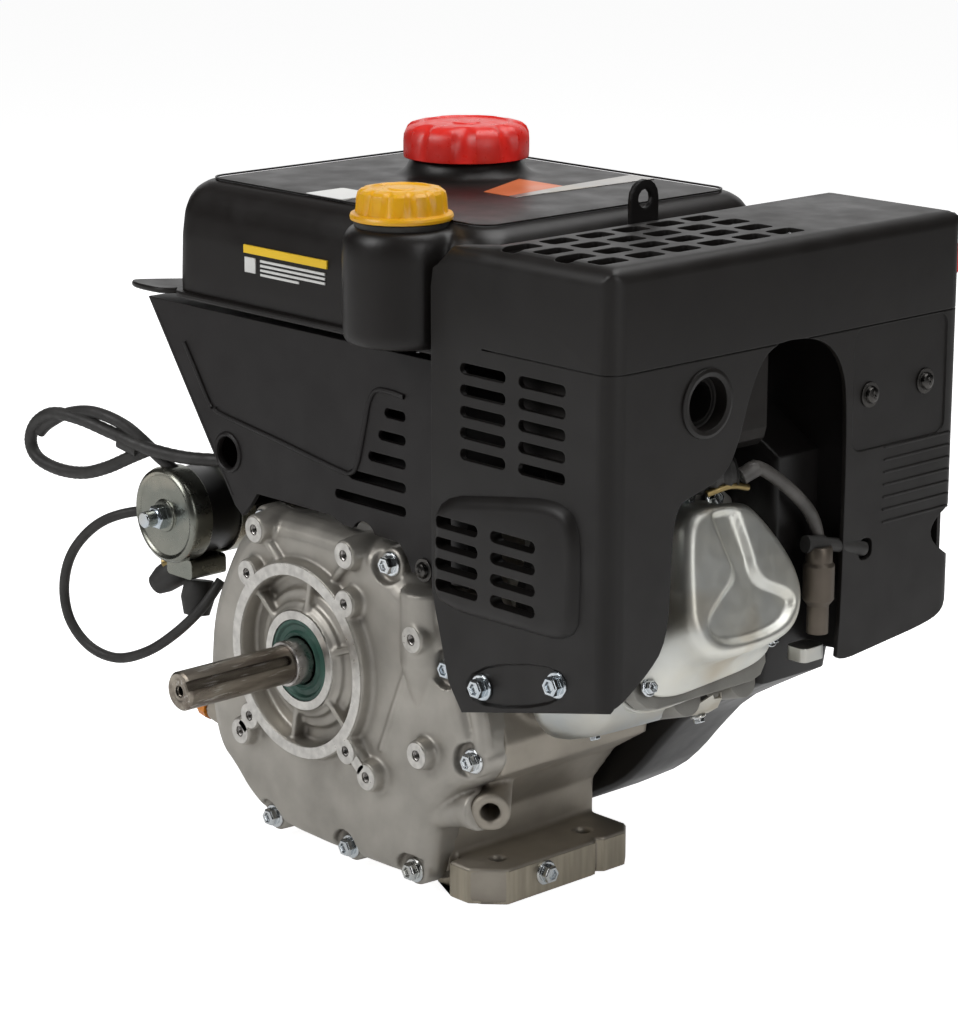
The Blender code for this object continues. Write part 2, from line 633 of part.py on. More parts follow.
# ---------------------------------------------------------------- flywheel end
def make_flywheel():
    rim = [(13, 81), (26, 81), (26, 90), (97, 90), (97, 85), (FLYWHEEL_RADIUS, 85),
           (FLYWHEEL_RADIUS, 104), (97, 104), (97, 98), (26, 98), (26, 103), (13, 103)]
    piece("flywheel", turned(CRANK, rim, 22), cast_iron(), CRANK_CENTRE)
    towards = pinion_frame().axes[0]
    half_tooth = math.pi / RING_TEETH
    teeth = turned_by(gear_outline(RING_TEETH, RING_MODULE),
                      math.atan2(towards.z, towards.x) + half_tooth)
    gear = piece("ring_gear", prism(CRANK, teeth, 86, 95), steel(), CRANK_CENTRE)
    cut(gear, cylinder(CRANK, 0, 0, FLYWHEEL_RADIUS + GAP + 0.8, 80, 100, 22))
    cup = [(13, 103.5), (40, 103.5), (40, 124), (37, 124), (37, 106), (13, 106)]
    piece("starter_cup", turned(CRANK, cup), zinc(), CRANK_CENTRE)
    fan = piece("cooling_fan", ring(CRANK, 58, 108, 104.4, 107.5, 28), black_plastic(), CRANK_CENTRE)
    for number in range(10):
        blade = turned_by([(62, -1.5), (104, -9), (104, -6), (62, 1.5)], math.radians(36 * number))
        join(fan, prism(CRANK, blade, 106, 131))


def housing_outline():
    """Blower housing: round about the flywheel, drawn out to guide air over the cylinder."""
    scroll = arc(0, CRANK_HEIGHT, 132, 150, 300, 16)
    return scroll + [(100, 27), (130, 44), (148, 61), (163, 79), (188, 106), (222, 126), (262, 148),
                     (262, 340), (-70, 340)]


def make_blower_housing():
    outline = housing_outline()
    housing = piece("blower_housing", prism(FRONT, outline, 78, 142), black_paint())
    cut(housing, prism(FRONT, inset(outline, 2.5), 80.5, 139.5))
    window = prism(CYLINDER, rectangle(-60, -72, 81, 125), 70, 330)
    cut(housing, cylinder(CRANK, 0, 0, 60, 70, 90), cylinder(CRANK, 0, 0, 74, 130, 150, 24))
    cut(housing, window)
    cut(housing, prism(CYLINDER, rectangle(-60, -72, 140, 125), 150, 330))
    cut(housing, cylinder(pinion_frame(), 0, 0, 26, 70, 100, 16))


def make_recoil():
    cover = [(88, 142.4), (88, 150), (80, 172), (20, 176), (0, 176), (0, 172.5), (20, 172.5),
             (77, 169), (84.5, 149), (84.5, 142.4)]
    housing = piece("recoil_housing", turned(CRANK, cover), black_plastic(), CRANK_CENTRE)
    slots = []
    for number in range(8):
        slot = turned_by(rectangle(34, -4, 66, 4), math.radians(15 + 45 * number))
        slots.append(prism(CRANK, slot, 160, 180))
    cut(housing, *slots)
    frame, _ = recoil_rope()
    cut(housing, cylinder(frame, 0, 0, 7, 20, 120, 12))
    pulley = [(0, 128), (30, 128), (30, 146), (58, 146), (58, 149), (52, 151), (52, 155), (58, 157),
              (58, 160), (0, 160)]
    piece("recoil_pulley", turned(CRANK, pulley), black_plastic(), CRANK_CENTRE)
    stand = recoil_rope()[1]
    handle = [(0, stand), (7, stand), (9, stand + 5), (7, stand + 11), (7, stand + 13), (0, stand + 13)]
    grip = piece("recoil_handle", turned(frame, handle, 16), black_plastic(), frame.at(0, 0, stand))
    bar = Frame(frame.at(0, 0, stand + 18), frame.axes[0], Y, frame.axes[2])
    join(grip, prism(bar, rounded(-38, -8, 38, 8, 7), -6, 7))


def recoil_rope():
    """Frame along the pull of the starter rope, from where it leaves the pulley."""
    pull = Vector((-0.94, 0, 0.342))
    radius = Vector((0.342, 0, 0.94))
    start = CRANK_CENTRE + radius * 55 + Y * 153
    return Frame(start, radius, Y, pull), 84


# ---------------------------------------------------------------- fuel, air and exhaust
TANK_LEFT = -146.0
TANK_RIGHT = 164.0
TANK_FRONT = -78.0
TANK_REAR = 178.0
FILLER_X = -22.0
FILLER_Y = 79.0
OIL_X = 92.0
OIL_Y = -79.0


def tank_ring(shrink, z):
    left, right = TANK_LEFT + shrink, TANK_RIGHT - shrink
    return (rounded(left, TANK_FRONT + shrink, right, TANK_REAR - shrink, 16, 3), z)


def make_tank():
    hollow = [tank_ring(20, 433), tank_ring(7, 426), tank_ring(5, 364)]
    outer = [tank_ring(0, TANK_BOTTOM_Z), tank_ring(1, 400), tank_ring(4, 430),
             tank_ring(10, 436), tank_ring(20, TANK_TOP_Z)]
    tank = piece("fuel_tank", loft(TOP, outer), black_plastic())
    cut(tank, loft(TOP, hollow))
    flange = [(-146, -79), (TANK_LEFT - 42, -79), (TANK_LEFT - 38, -60), (-150, -20), (-140, -20)]
    join(tank, prism(TOP, flange, TANK_BOTTOM_Z, TANK_BOTTOM_Z + 4))
    join(tank, turned(Frame((FILLER_X, FILLER_Y, 0), X, Y, Z),
                      [(0, 434.5), (42, 434.5), (38, 444), (35, 445), (35, 460), (0, 460)], 20))
    oil_outline = circle(OIL_X, OIL_Y, 37, 18)
    join(tank, prism(TOP, oil_outline, 362, 435))
    cut(tank, cylinder(TOP, FILLER_X, FILLER_Y, 22, 425, 470, 14),
        cylinder(TOP, OIL_X, OIL_Y, 11, 425, 450, 16))
    cut(tank, tube(OIL_PATH, 9 + 2 * GAP, 8, 3))
    cut(tank, cylinder(TOP, OIL_X, OIL_Y, 15 + GAP, 435.2, 450, 16))


def make_caps():
    cap = Frame((FILLER_X, FILLER_Y, 0), X, Y, Z)
    scallops = []
    for i in range(32):
        a = 2 * math.pi * i / 32
        radius = 42.5 - 2.0 * max(0.0, math.cos(8 * a)) ** 2
        scallops.append((radius * math.cos(a), radius * math.sin(a)))
    rim = [(u * 0.93, v * 0.93) for u, v in scallops]
    fuel_cap = piece("fuel_cap", loft(cap, [(scallops, 449), (scallops, 468), (rim, 473)]),
                     red_plastic(), cap.at(0, 0, 449))
    cut(fuel_cap, cylinder(cap, 0, 0, 35.5 + GAP, 440, 461, 20))
    oil = Frame((OIL_X, OIL_Y, 0), X, Y, Z)
    profile = [(0, 457), (26, 457), (27.5, 454), (28.5, 443), (32, 442), (32, 438.5), (19, 438.5),
               (19, 452), (0, 452)]
    oil_cap = piece("oil_fill_cap", turned(oil, profile, 24), yellow_plastic(), oil.at(0, 0, 438))
    join(oil_cap, cylinder(oil, 0, 0, 4, 426, 453, 8))


OIL_PATH = [(OIL_X, OIL_Y, 440), (OIL_X, OIL_Y, 425), (OIL_X, -64, 392), (OIL_X, -54, 362),
            (90, -52, 330), (80, -45, 285), (60, -35, 254), (52, -28, 240), (52, -28, 231)]


def make_oil_tube():
    """Oil filler tube from the top of the crankcase up through the tank's boss."""
    frame = Frame((OIL_X, OIL_Y, 0), X, Y, Z)
    neck = piece("oil_fill_tube", cylinder(frame, 0, 0, 15, 435.5, 449, 16), black_plastic())
    join(neck, tube(OIL_PATH, 9, 8, 3))
    cut(neck, cylinder(frame, 0, 0, 7, 422, 460, 12))


def make_shroud():
    outline = [(-172, 353), (-80, 218), (-64, 234), (20, 234), (84, 230), (96, 214), (148, 214),
               (148, 353)]
    inner = [(-166.5, 349.5), (-76, 210), (-60, 180), (145, 180), (145, 349.5)]
    shroud = piece("shroud_panel", prism(FRONT, outline, -76, 72), black_plastic())
    cut(shroud, prism(FRONT, inner, -72.5, 90))
    slots = []
    for number, left in enumerate((71, 65, 55, 36, 22)):
        z = 313 - 15.3 * number
        slots.append(prism(FRONT, rectangle(left, z - 3, 91, z + 3), -80, -70))
    cut(shroud, *slots, cylinder(FRONT, -88, 259, 11, -80, -70, 20),
        cylinder(TOP, OIL_X, -53, 14, 340, 360, 12))
    cut(shroud, prism(FRONT, rectangle(86, 180, 160, 268), -60, 90))


def make_lifting_eye():
    plate = [(140, 346), (164, 346), (164, 444)] + arc(152, 446, 12, 0, 180, 8) + [(140, 444)]
    shifted = [(u - 100, v) for u, v in plate]
    eye = piece("lifting_eye", prism(SIDE, shifted, 168.5, 171.5), black_paint())
    cut(eye, cylinder(SIDE, 52, 446, 6, 160, 180, 12))


# Openings of the hood: the grid on top, the louvres in front, the window in the side.
GRID_ROWS = (196, 218.5, 241, 263.5)
GRID_FIRST = -76.0
GRID_PITCH = 30.3
SIDE_WINDOW = [(-66, 120), (-63, 185), (-43, 205), (-41, 254), (-38, 288), (-23, 291), (3, 297),
               (15, 315), (23, 341), (31, 358), (40, 369), (57, 373), (89, 368), (107, 352),
               (114, 327), (113, 200), (110, 120)]


HOOD_BOLTS = [(178, 161), (244, 178)]
PRIMER_X = 232.0
PRIMER_Z = 300.0


def make_hood():
    left = 176
    body = [(left, 150), (HOOD_RIGHT_X, 150), (HOOD_RIGHT_X, 424), (280, HOOD_TOP_Z),
            (184, HOOD_TOP_Z), (left, 428)]
    hood = piece("hood", prism(FRONT, body, HOOD_FRONT_Y, HOOD_REAR_Y), black_plastic())
    plate = [(161, 141), (HOOD_RIGHT_X, 169), (HOOD_RIGHT_X, 424), (280, HOOD_TOP_Z),
             (184, HOOD_TOP_Z), (142, 426), (134, 418), (134, 214), (149, 158)]
    inner = [(100, 100), (285, 100), (285, 422), (278, 431), (100, 431)]
    cut(hood, prism(FRONT, inner, HOOD_FRONT_Y + 3, HOOD_REAR_Y - 3))
    cut(hood, prism(FRONT, [(170, 130), (300, 160), (300, 168.9), (170, 141)], -100, -85),
        prism(FRONT, rectangle(170, 140, 300, 162), 100, 230))
    join(hood, prism(FRONT, plate, HOOD_FRONT_Y - 0.5, HOOD_FRONT_Y + 3.5))
    cut(hood, prism(SIDE, SIDE_WINDOW, 280, 292), cylinder(SIDE, -13, 345, 18, 280, 292, 24))
    grid = []
    for x in GRID_ROWS:
        for number in range(6):
            y = GRID_FIRST + GRID_PITCH * number
            grid.append(prism(TOP, rectangle(x - 7.5, y - 11.5, x + 7.5, y + 11.5), 425, 440))
    louvres = []
    for x in (180, 231):
        for number in range(5):
            z = 358 - 13.2 * number
            louvres.append(prism(FRONT, rectangle(x - 20, z - 3.3, x + 20, z + 3.3), -100, -85))
    for x in (162, 212):
        for number in range(4):
            z = 261 - 13.3 * number
            louvres.append(prism(FRONT, rectangle(x - 20, z - 3.5, x + 20, z + 3.5), -100, -85))
    cut(hood, *grid)
    cut(hood, *louvres)
    cut(hood, *[cylinder(FRONT, x, z, 3.4, -100, -85, 8) for x, z in HOOD_BOLTS])
    cut(hood, cylinder(FRONT, PRIMER_X, PRIMER_Z, 17, HOOD_REAR_Y - 10, HOOD_REAR_Y + 10, 20))


def make_muffler():
    body = rounded(196, 302, 268, 412, 14, 3)
    muffler = piece("muffler", prism(FRONT, body, -78, 62), zinc())
    join(muffler, cylinder(SIDE, -13, 345, 15, 262, 280, 20))
    cut(muffler, cylinder(SIDE, -13, 345, 12.5, 250, 290, 20))
    port = CYLINDER.at(0, VALVE_RISE, DECK + 26)
    bend = [port - Y * 67.5, port - Y * 76, port + Vector((6, -84, 14)), Vector((214, -60, 272)),
            Vector((216, -58, 290)), Vector((216, -58, 301))]
    pipe = piece("exhaust_pipe", tube(bend, 13, 10, 2), steel())
    inside = [bend[0] + Y * 4] + bend[1:-1] + [bend[-1] + Z * 4]
    cut(pipe, tube(inside, 10.5, 10, 2))


def make_carburettor():
    port = CYLINDER.at(0, VALVE_RISE, DECK + 26)
    throat = Frame(port, X, Z, Y)
    body = piece("carburettor", prism(throat, rounded(-24, -22, 24, 24, 8, 2), 86.4, 120),
                 cast_aluminium())
    join(body, cylinder(TOP, port.x, port.y + 103, 16, port.z - 30, port.z - 18, 16))
    cut(body, cylinder(throat, 0, 0, 11, 80, 130, 16))
    bowl = Frame((port.x, port.y + 103, port.z), X, Y, Z)
    piece("float_bowl", turned(bowl, [(0, -52), (6, -52), (6, -47), (17, -46), (20, -42), (20, -30.4),
                                      (0, -30.4)], 20), zinc())
    shaft = Frame((port.x, port.y + 94, port.z), X, Y, Z)
    lever = piece("throttle_lever", prism(shaft, rounded(-8, -7, 34, 7, 6, 2), 26, 28.5), zinc(),
                  shaft.at(0, 0, 27))
    cut(lever, cylinder(shaft, 28, 0, 2.2, 20, 35, 8))
    box = prism(FRONT, rounded(196, 196, 270, 290, 10, 2), port.y + 120.4, 214)
    air_box = piece("intake_box", box, black_plastic())
    cut(air_box, prism(FRONT, rounded(199, 199, 267, 287, 8, 2), port.y + 124, 211),
        cylinder(throat, 0, 0, 12, 100, 130, 16))
    cut(air_box, prism(FRONT, rectangle(204, 180, 230, 205), 190, 206))


# ---------------------------------------------------------------- starter, ignition, hoses
def make_starter():
    axis = Frame((STARTER_X, 0, STARTER_Z), X, Z, Y)
    motor = [(0, -72), (31, -72), (31, 40), (24, 44), (0, 44)]
    piece("starter_motor", turned(axis, motor), black_paint(), axis.at(0, 0, 0))
    cap = [(31 + GAP, -66), (33.5, -66), (33.5, -79), (30, -81), (14, -81), (13, -84), (0, -84),
           (0, -72 - GAP), (31 + GAP, -72 - GAP)]
    end_cap = piece("starter_end_cap", turned(axis, cap), zinc(), axis.at(0, 0, -81))
    join(end_cap, prism(axis, circle(0, 0, 8, 6), -91, -82))
    join(end_cap, cylinder(axis, 0, 0, 3.5, -98, -90, 10))
    gearbox = piece("starter_gearbox", prism(FRONT, rounded(-182, 160, -92, 238, 22), 44.4, 59),
                    cast_aluminium())
    cut(gearbox, cylinder(pinion_frame(), 0, 0, 6.5, 40, 70, 12))
    cut(gearbox, prism(FRONT, inset(CASE_OUTLINE, -GAP), 30, 90))
    pinion = gear_outline(PINION_TEETH, RING_MODULE)
    gear = piece("starter_pinion", prism(pinion_frame(), pinion, 62, 73), steel(),
                 pinion_frame().at(0, 0, 0))
    join(gear, cylinder(pinion_frame(), 0, 0, 6, 46, 75, 12))


def pinion_frame():
    """Pinion axis, one centre distance from the crankshaft, towards the starter."""
    towards = Vector((STARTER_X, 0, STARTER_Z - CRANK_HEIGHT)).normalized()
    centre = CRANK_CENTRE + towards * (RING_MODULE * (RING_TEETH + PINION_TEETH) / 2 + 0.3)
    return Frame(centre, towards, Y.cross(towards), Y)


def make_wiring():
    loop_low = [(-173, -64, 166), (-195, -78, 176), (-228, -92, 172), (-252, -100, 150),
                (-262, -96, 124), (-248, -92, 98), (-214, -86, 88), (-176, -78, 98),
                (-150, -72, 118), (-139, -62, 140), (-136, -50, 160)]
    piece("starter_cable", tube(loop_low, 3, 6, 2), rubber())
    loop_high = [(-112, -64, 248), (-150, -84, 246), (-190, -96, 250), (-240, -104, 254),
                 (-268, -106, 240), (-262, -104, 224), (-230, -98, 220), (-196, -90, 232),
                 (-166, -74, 248), (-140, -58, 254), (-124, -40, 256)]
    piece("harness_cable", tube(loop_high, 3, 6, 2), rubber())


def make_ignition():
    coil = piece("ignition_coil", prism(FRONT, rounded(62, 262, 104, 292, 5, 2), 88, 104),
                 black_plastic())
    join(coil, prism(FRONT, [(56, 252), (63, 250), (66, 272), (59, 272)], 90, 102))
    join(coil, prism(FRONT, [(96, 224), (104, 220), (110, 268), (100, 268)], 90, 102))
    breather = [(276, 12, 272), (280, 30, 292), (274, 58, 290), (268, 74, 262), (264, 84, 244)]
    piece("breather_hose", tube(breather, 6, 8, 3), rubber())


def make_oil_plugs():
    filler_axis = Vector((-0.93, -0.18, 0.32)).normalized()
    sideways = filler_axis.orthogonal().normalized()
    filler = Frame((-106, -42, 58), sideways, filler_axis.cross(sideways), filler_axis)
    plug = [(0, -4), (9.6, -4), (9.6, 34.4), (17, 34.4), (17, 41), (8, 44), (8, 52), (0, 52)]
    piece("oil_plug", turned(filler, plug, 16), finish("orange_plastic", (0.8, 0.25, 0.02), 0.4, 0.0),
          filler.at(0, 0, 34))


def make_controls():
    """Choke knob, primer bulb and stop key on the hood's rear face."""
    face = HOOD_REAR_Y + GAP
    knob = Frame((232, 0, 350), X, Z, Y)
    profile = [(0, face), (20, face), (20, face + 4), (14, face + 5), (14, face + 16), (0, face + 16)]
    piece("choke_knob", turned(knob, profile, 20), black_plastic(), knob.at(0, 0, face))
    bulb = Frame((PRIMER_X, 0, PRIMER_Z), X, Z, Y)
    dome = [(0, face), (16, face), (16, face + 3), (12, face + 4), (11, face + 10), (7, face + 14),
            (0, face + 15)]
    piece("primer_bulb", turned(bulb, dome, 20), rubber(), bulb.at(0, 0, face))
    key = Frame((264, 0, 398), X, Z, Y)
    piece("stop_key", prism(key, rounded(-3, -11, 3, 11, 2.5, 2), face, face + 22), red_plastic(),
          key.at(0, 0, face))


def build():
    for obj in list(bpy.data.objects):
        bpy.data.objects.remove(obj, do_unlink=True)
    make_crankcase()
    make_side_cover()
    make_liner()
    make_crankshaft()
    make_bearings()
    make_timing_gears()
    make_piston()
    make_rod()
    make_head()
    make_spark_plug()
    make_valve_cover()
    make_valves()
    make_flywheel()
    make_blower_housing()
    make_recoil()
    make_tank()
    make_caps()
    make_oil_tube()
    make_shroud()
    make_lifting_eye()
    make_hood()
    make_muffler()
    make_carburettor()
    make_starter()
    make_wiring()
    make_ignition()
    make_oil_plugs()
    make_controls()


build()
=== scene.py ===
"""Looks of the small petrol engine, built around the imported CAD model.

Shapes are written in world millimetres, in the frame of the CAD: +Z up, the output shaft along
-Y, the cylinder leaning towards +X. Each mesh is turned into metres when it is made.
"""
import json
import math

import bmesh
import bpy
from mathutils import Matrix, Vector


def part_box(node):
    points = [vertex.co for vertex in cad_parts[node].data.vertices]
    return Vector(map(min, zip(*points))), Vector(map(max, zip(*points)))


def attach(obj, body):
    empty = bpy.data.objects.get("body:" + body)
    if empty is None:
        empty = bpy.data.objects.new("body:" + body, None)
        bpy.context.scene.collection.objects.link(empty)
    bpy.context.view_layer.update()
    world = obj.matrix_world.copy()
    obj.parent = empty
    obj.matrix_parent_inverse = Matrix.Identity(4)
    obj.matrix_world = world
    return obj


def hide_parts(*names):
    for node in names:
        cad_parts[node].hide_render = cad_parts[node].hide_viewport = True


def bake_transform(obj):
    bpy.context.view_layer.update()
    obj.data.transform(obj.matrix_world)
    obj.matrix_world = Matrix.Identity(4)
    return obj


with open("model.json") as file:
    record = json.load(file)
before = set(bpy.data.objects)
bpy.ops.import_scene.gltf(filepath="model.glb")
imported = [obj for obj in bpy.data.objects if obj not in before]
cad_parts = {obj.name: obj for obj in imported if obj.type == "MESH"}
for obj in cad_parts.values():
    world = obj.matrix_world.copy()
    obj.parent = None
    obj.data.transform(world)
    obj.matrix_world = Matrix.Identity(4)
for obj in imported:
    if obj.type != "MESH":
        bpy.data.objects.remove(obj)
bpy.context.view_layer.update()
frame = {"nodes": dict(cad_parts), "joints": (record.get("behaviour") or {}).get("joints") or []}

MM = 0.001
JOINTS = {joint["name"]: joint for joint in frame["joints"]}


def box_mm(node):
    """Lowest and highest corners of a CAD node, in millimetres."""
    low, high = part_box(node)
    return low / MM, high / MM


def joint_place(name):
    return Vector(JOINTS[name]["pos_m"]) / MM


# ---------------------------------------------------------------- places taken from the frame
X = Vector((1, 0, 0))
Y = Vector((0, 1, 0))
Z = Vector((0, 0, 1))
CRANK_CENTRE = joint_place("crank_turn")
ALONG = Vector(JOINTS["piston_stroke"]["axis"])
ACROSS = Y.cross(ALONG) * -1
FACE_Y = box_mm("side_cover")[0].y
SPLIT_Y = box_mm("side_cover")[1].y
HOOD_LOW, HOOD_HIGH = box_mm("hood")
CYLINDER_Y = joint_place("piston_stroke").y
KEYWAY = Vector((math.cos(math.radians(30)), 0, math.sin(math.radians(30))))   # faces this way
STARTER = (box_mm("starter_motor")[0] + box_mm("starter_motor")[1]) / 2
PLATE_Y = FACE_Y + 9                 # front plate of the side cover, behind its pilot ring
CASE_MIDDLE = (20, 118)              # the side cover tapers towards this (x, z)

# Crankcase and side cover outline as (x, z), clockwise from the lower left.
CASE_OUTLINE = [(-70, 21), (-87, 38), (-105, 50), (-114, 89), (-112, 116), (-109, 142),
                (-101, 165), (-80, 203), (-64, 218), (-50, 229), (60, 229), (84, 224),
                (92, 207), (128, 204), (136, 178), (150, 158), (154, 140), (166, 112),
                (162, 92), (134, 74), (114, 48), (112, 14), (100, 7), (-40, 7)]
COVER_BOLTS = [(-51, 219), (-43, 15), (36, 15), (99, 16), (134, 160), (155, 104), (78, 216)]
PILOT_HOLES = [(49.5, 49.5), (-49.5, 49.5), (-49.5, -49.5), (49.5, -49.5)]
OUTER_BOSSES = [(49.6, 218.7), (-41.2, 217.8), (-59.9, 74.1), (69.4, 74.7),
                (114.2, 177.2), (118.3, 101.9)]


class Frame:
    """Local axes (u, v, w) placed in the world; outlines lie in (u, v) and extrude along w."""

    def __init__(self, origin, u, v, w):
        self.origin = Vector(origin)
        self.axes = (u, v, w)

    def at(self, u, v, w):
        return self.origin + self.axes[0] * u + self.axes[1] * v + self.axes[2] * w


def pointing(origin, axis):
    """Frame whose w axis points along the given direction."""
    axis = Vector(axis).normalized()
    side = Z.cross(axis)
    side = side.normalized() if side.length > 0.05 else X
    return Frame(origin, side, axis.cross(side), axis)


FRONT = Frame((0, 0, 0), X, Z, Y)
TOP = Frame((0, 0, 0), X, Y, Z)
SIDE = Frame((0, 0, 0), Y, Z, X)
CRANK = Frame(CRANK_CENTRE, X, Z, Y)
CYLINDER = Frame(Vector((0, CYLINDER_Y, CRANK_CENTRE.z)), Y, ACROSS, ALONG)


# ---------------------------------------------------------------- outlines
def arc(u, v, radius, start, end, count):
    angles = [math.radians(start + (end - start) * i / count) for i in range(count + 1)]
    return [(u + radius * math.cos(a), v + radius * math.sin(a)) for a in angles]


def circle(u, v, radius, count=32):
    return arc(u, v, radius, 0, 360, count)[:-1]


def rectangle(u0, v0, u1, v1):
    return [(u0, v0), (u1, v0), (u1, v1), (u0, v1)]


def rounded(u0, v0, u1, v1, radius, steps=5):
    points = arc(u1 - radius, v1 - radius, radius, 0, 90, steps)
    points += arc(u0 + radius, v1 - radius, radius, 90, 180, steps)
    points += arc(u0 + radius, v0 + radius, radius, 180, 270, steps)
    points += arc(u1 - radius, v0 + radius, radius, 270, 360, steps)
    return points


def softened(outline, rounds=2):
    """Closed outline with its corners cut again and again until it reads as a curve."""
    for _ in range(rounds):
        result = []
        for (u0, v0), (u1, v1) in zip(outline, outline[1:] + outline[:1]):
            result.append((0.75 * u0 + 0.25 * u1, 0.75 * v0 + 0.25 * v1))
            result.append((0.25 * u0 + 0.75 * u1, 0.25 * v0 + 0.75 * v1))
        outline = result
    return outline


def inset(outline, distance):
    """Outline moved inwards by a distance; a negative distance moves it outwards."""
    pairs = zip(outline, outline[1:] + outline[:1])
    turn = 1 if sum(a[0] * b[1] - b[0] * a[1] for a, b in pairs) > 0 else -1
    result = []
    for index, point in enumerate(outline):
        here = Vector(point)
        before = (here - Vector(outline[index - 1])).normalized()
        after = (Vector(outline[(index + 1) % len(outline)]) - here).normalized()
        normal = Vector((-before.y - after.y, before.x + after.x)).normalized() * turn
        reach = distance / max(0.5, normal.dot(Vector((-before.y, before.x)) * turn))
        result.append(tuple(here + normal * reach))
    return result


def drawn_in(outline, share, centre=CASE_MIDDLE):
    """Outline shrunk towards a point by a share of its distance."""
    return [tuple(Vector(point).lerp(Vector(centre), share)) for point in outline]


def turned_by(outline, degrees):
    """Outline turned anticlockwise about its origin."""
    c, s = math.cos(math.radians(degrees)), math.sin(math.radians(degrees))
    return [(u * c - v * s, u * s + v * c) for u, v in outline]


# ---------------------------------------------------------------- solids
def bridge(bm, loops, closed=False):
    """Skin through loops of vertices; closed joins the last loop to the first."""
    pairs = list(zip(loops, loops[1:]))
    if closed:
        pairs.append((loops[-1], loops[0]))
    for low, high in pairs:
        for i in range(len(low)):
            j = (i + 1) % len(low)
            bm.faces.new((low[i], low[j], high[j], high[i]))
    if not closed:
        bm.faces.new(loops[0])
        bm.faces.new(loops[-1])
    return bm


def loft(place, rings, closed=False):
    """Solid through rings of (outline, w)."""
    bm = bmesh.new()
    loops = [[bm.verts.new(place.at(u, v, w)) for u, v in outline] for outline, w in rings]
    return bridge(bm, loops, closed)


def prism(place, outline, w0, w1):
    return loft(place, [(outline, w0), (outline, w1)])


def cylinder(place, u, v, radius, w0, w1, count=32):
    return prism(place, circle(u, v, radius, count), w0, w1)


def turned(place, profile, count=48, u=0, v=0):
    """Solid of revolution about w through (u, v); the profile is a closed loop of (radius, w)."""
    bm = bmesh.new()
    loops = []
    for radius, w in profile:
        if radius == 0:
            loops.append([bm.verts.new(place.at(u, v, w))] * count)
        else:
            loops.append([bm.verts.new(place.at(a, b, w)) for a, b in circle(u, v, radius, count)])
    for low, high in zip(loops, loops[1:] + loops[:1]):
        for i in range(count):
            j = (i + 1) % count
            corners = list(dict.fromkeys((low[i], low[j], high[j], high[i])))
            if len(corners) > 2:
                bm.faces.new(corners)
    return bm


def smooth_path(points, steps):
    """Catmull-Rom curve through the points."""
    points = [Vector(p) for p in points]
    path = []
    last = len(points) - 1
    for i in range(last):
        p0, p1 = points[max(i - 1, 0)], points[i]
        p2, p3 = points[i + 1], points[min(i + 2, last)]
        for k in range(steps):
            t = k / steps
            path.append(0.5 * ((2 * p1) + (p2 - p0) * t + (2 * p0 - 5 * p1 + 4 * p2 - p3) * t * t
                               + (3 * p1 - p0 - 3 * p2 + p3) * t * t * t))
    return path + [points[last]]


def tube(points, radius, sides=14, steps=8, swell=lambda along: 1.0):
    """Round bar along a smooth curve; swell scales its radius along the way."""
    path = smooth_path(points, steps)
    bm = bmesh.new()
    side = None
    loops = []
    for i, here in enumerate(path):
        ahead = (path[min(i + 1, len(path) - 1)] - path[max(i - 1, 0)]).normalized()
        if side is None:
            side = ahead.orthogonal().normalized()
        side = (side - ahead * side.dot(ahead)).normalized()
        up = ahead.cross(side)
        size = radius * swell(i)
        loops.append([bm.verts.new(here + side * a + up * b) for a, b in circle(0, 0, size, sides)])
    return bridge(bm, loops)


def plate_mesh(obj):
    """Copy of an object's mesh as a shape in millimetres."""
    bm = bmesh.new()
    bm.from_mesh(obj.data)
    bm.transform(Matrix.Scale(1 / MM, 4))
    return bm


def merged(shapes):
    """One mesh of several shapes, all with outward normals; the shapes are used up."""
    whole = bmesh.new()
    scratch = bpy.data.meshes.new("scratch")
    for shape in shapes:
        bmesh.ops.recalc_face_normals(shape, faces=shape.faces)
        shape.to_mesh(scratch)
        whole.from_mesh(scratch)
        shape.free()
    bpy.data.meshes.remove(scratch)
    return whole


# ---------------------------------------------------------------- objects
def new_object(name, shapes):
    """Object from one or more shapes in millimetres; its mesh is in metres."""
    bm = merged(shapes)
    bm.transform(Matrix.Scale(MM, 4))
    mesh = bpy.data.meshes.new(name)
    bm.to_mesh(mesh)
    bm.free()
    obj = bpy.data.objects.new(name, mesh)
    bpy.context.scene.collection.objects.link(obj)
    return obj


def bake(obj):
    """Replace the mesh with what its modifiers make of it."""
    bpy.context.view_layer.update()
    evaluated = obj.evaluated_get(bpy.context.evaluated_depsgraph_get())
    mesh = bpy.data.meshes.new_from_object(evaluated)
    obj.modifiers.clear()
    obj.data = mesh


def combine(obj, operation, groups):
    """Boolean of the object with each group of shapes in turn."""
    tools = []
    for group in groups:
        tool = new_object("tool", group)
        modifier = obj.modifiers.new("combine", "BOOLEAN")
        modifier.operation = operation
        modifier.object = tool
        tools.append(tool)
    bake(obj)
    for tool in tools:
        bpy.data.objects.remove(tool)


def cut(obj, *shapes):
    combine(obj, "DIFFERENCE", [list(shapes)])


def fuse(obj, *shapes):
    combine(obj, "UNION", [[shape] for shape in shapes])


def cast(obj, voxel, smoothing):
    """Melt the joined shapes into one skin with soft fillets, as a casting or moulding has."""
    remesh = obj.modifiers.new("skin", "REMESH")
    remesh.mode = "VOXEL"
    remesh.voxel_size = voxel * MM
    soften = obj.modifiers.new("soften", "SMOOTH")
    soften.factor = 0.5
    soften.iterations = smoothing
    bake(obj)


def dress(obj, material, body="engine", angle=35, replaces=()):
    """Shade, paint and mount a finished piece."""
    obj.data.shade_smooth()
    obj.data.set_sharp_from_angle(angle=math.radians(angle))
    obj.data.materials.clear()
    obj.data.materials.append(material)
    if replaces:
        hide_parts(*replaces)
    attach(obj, body)
    return obj


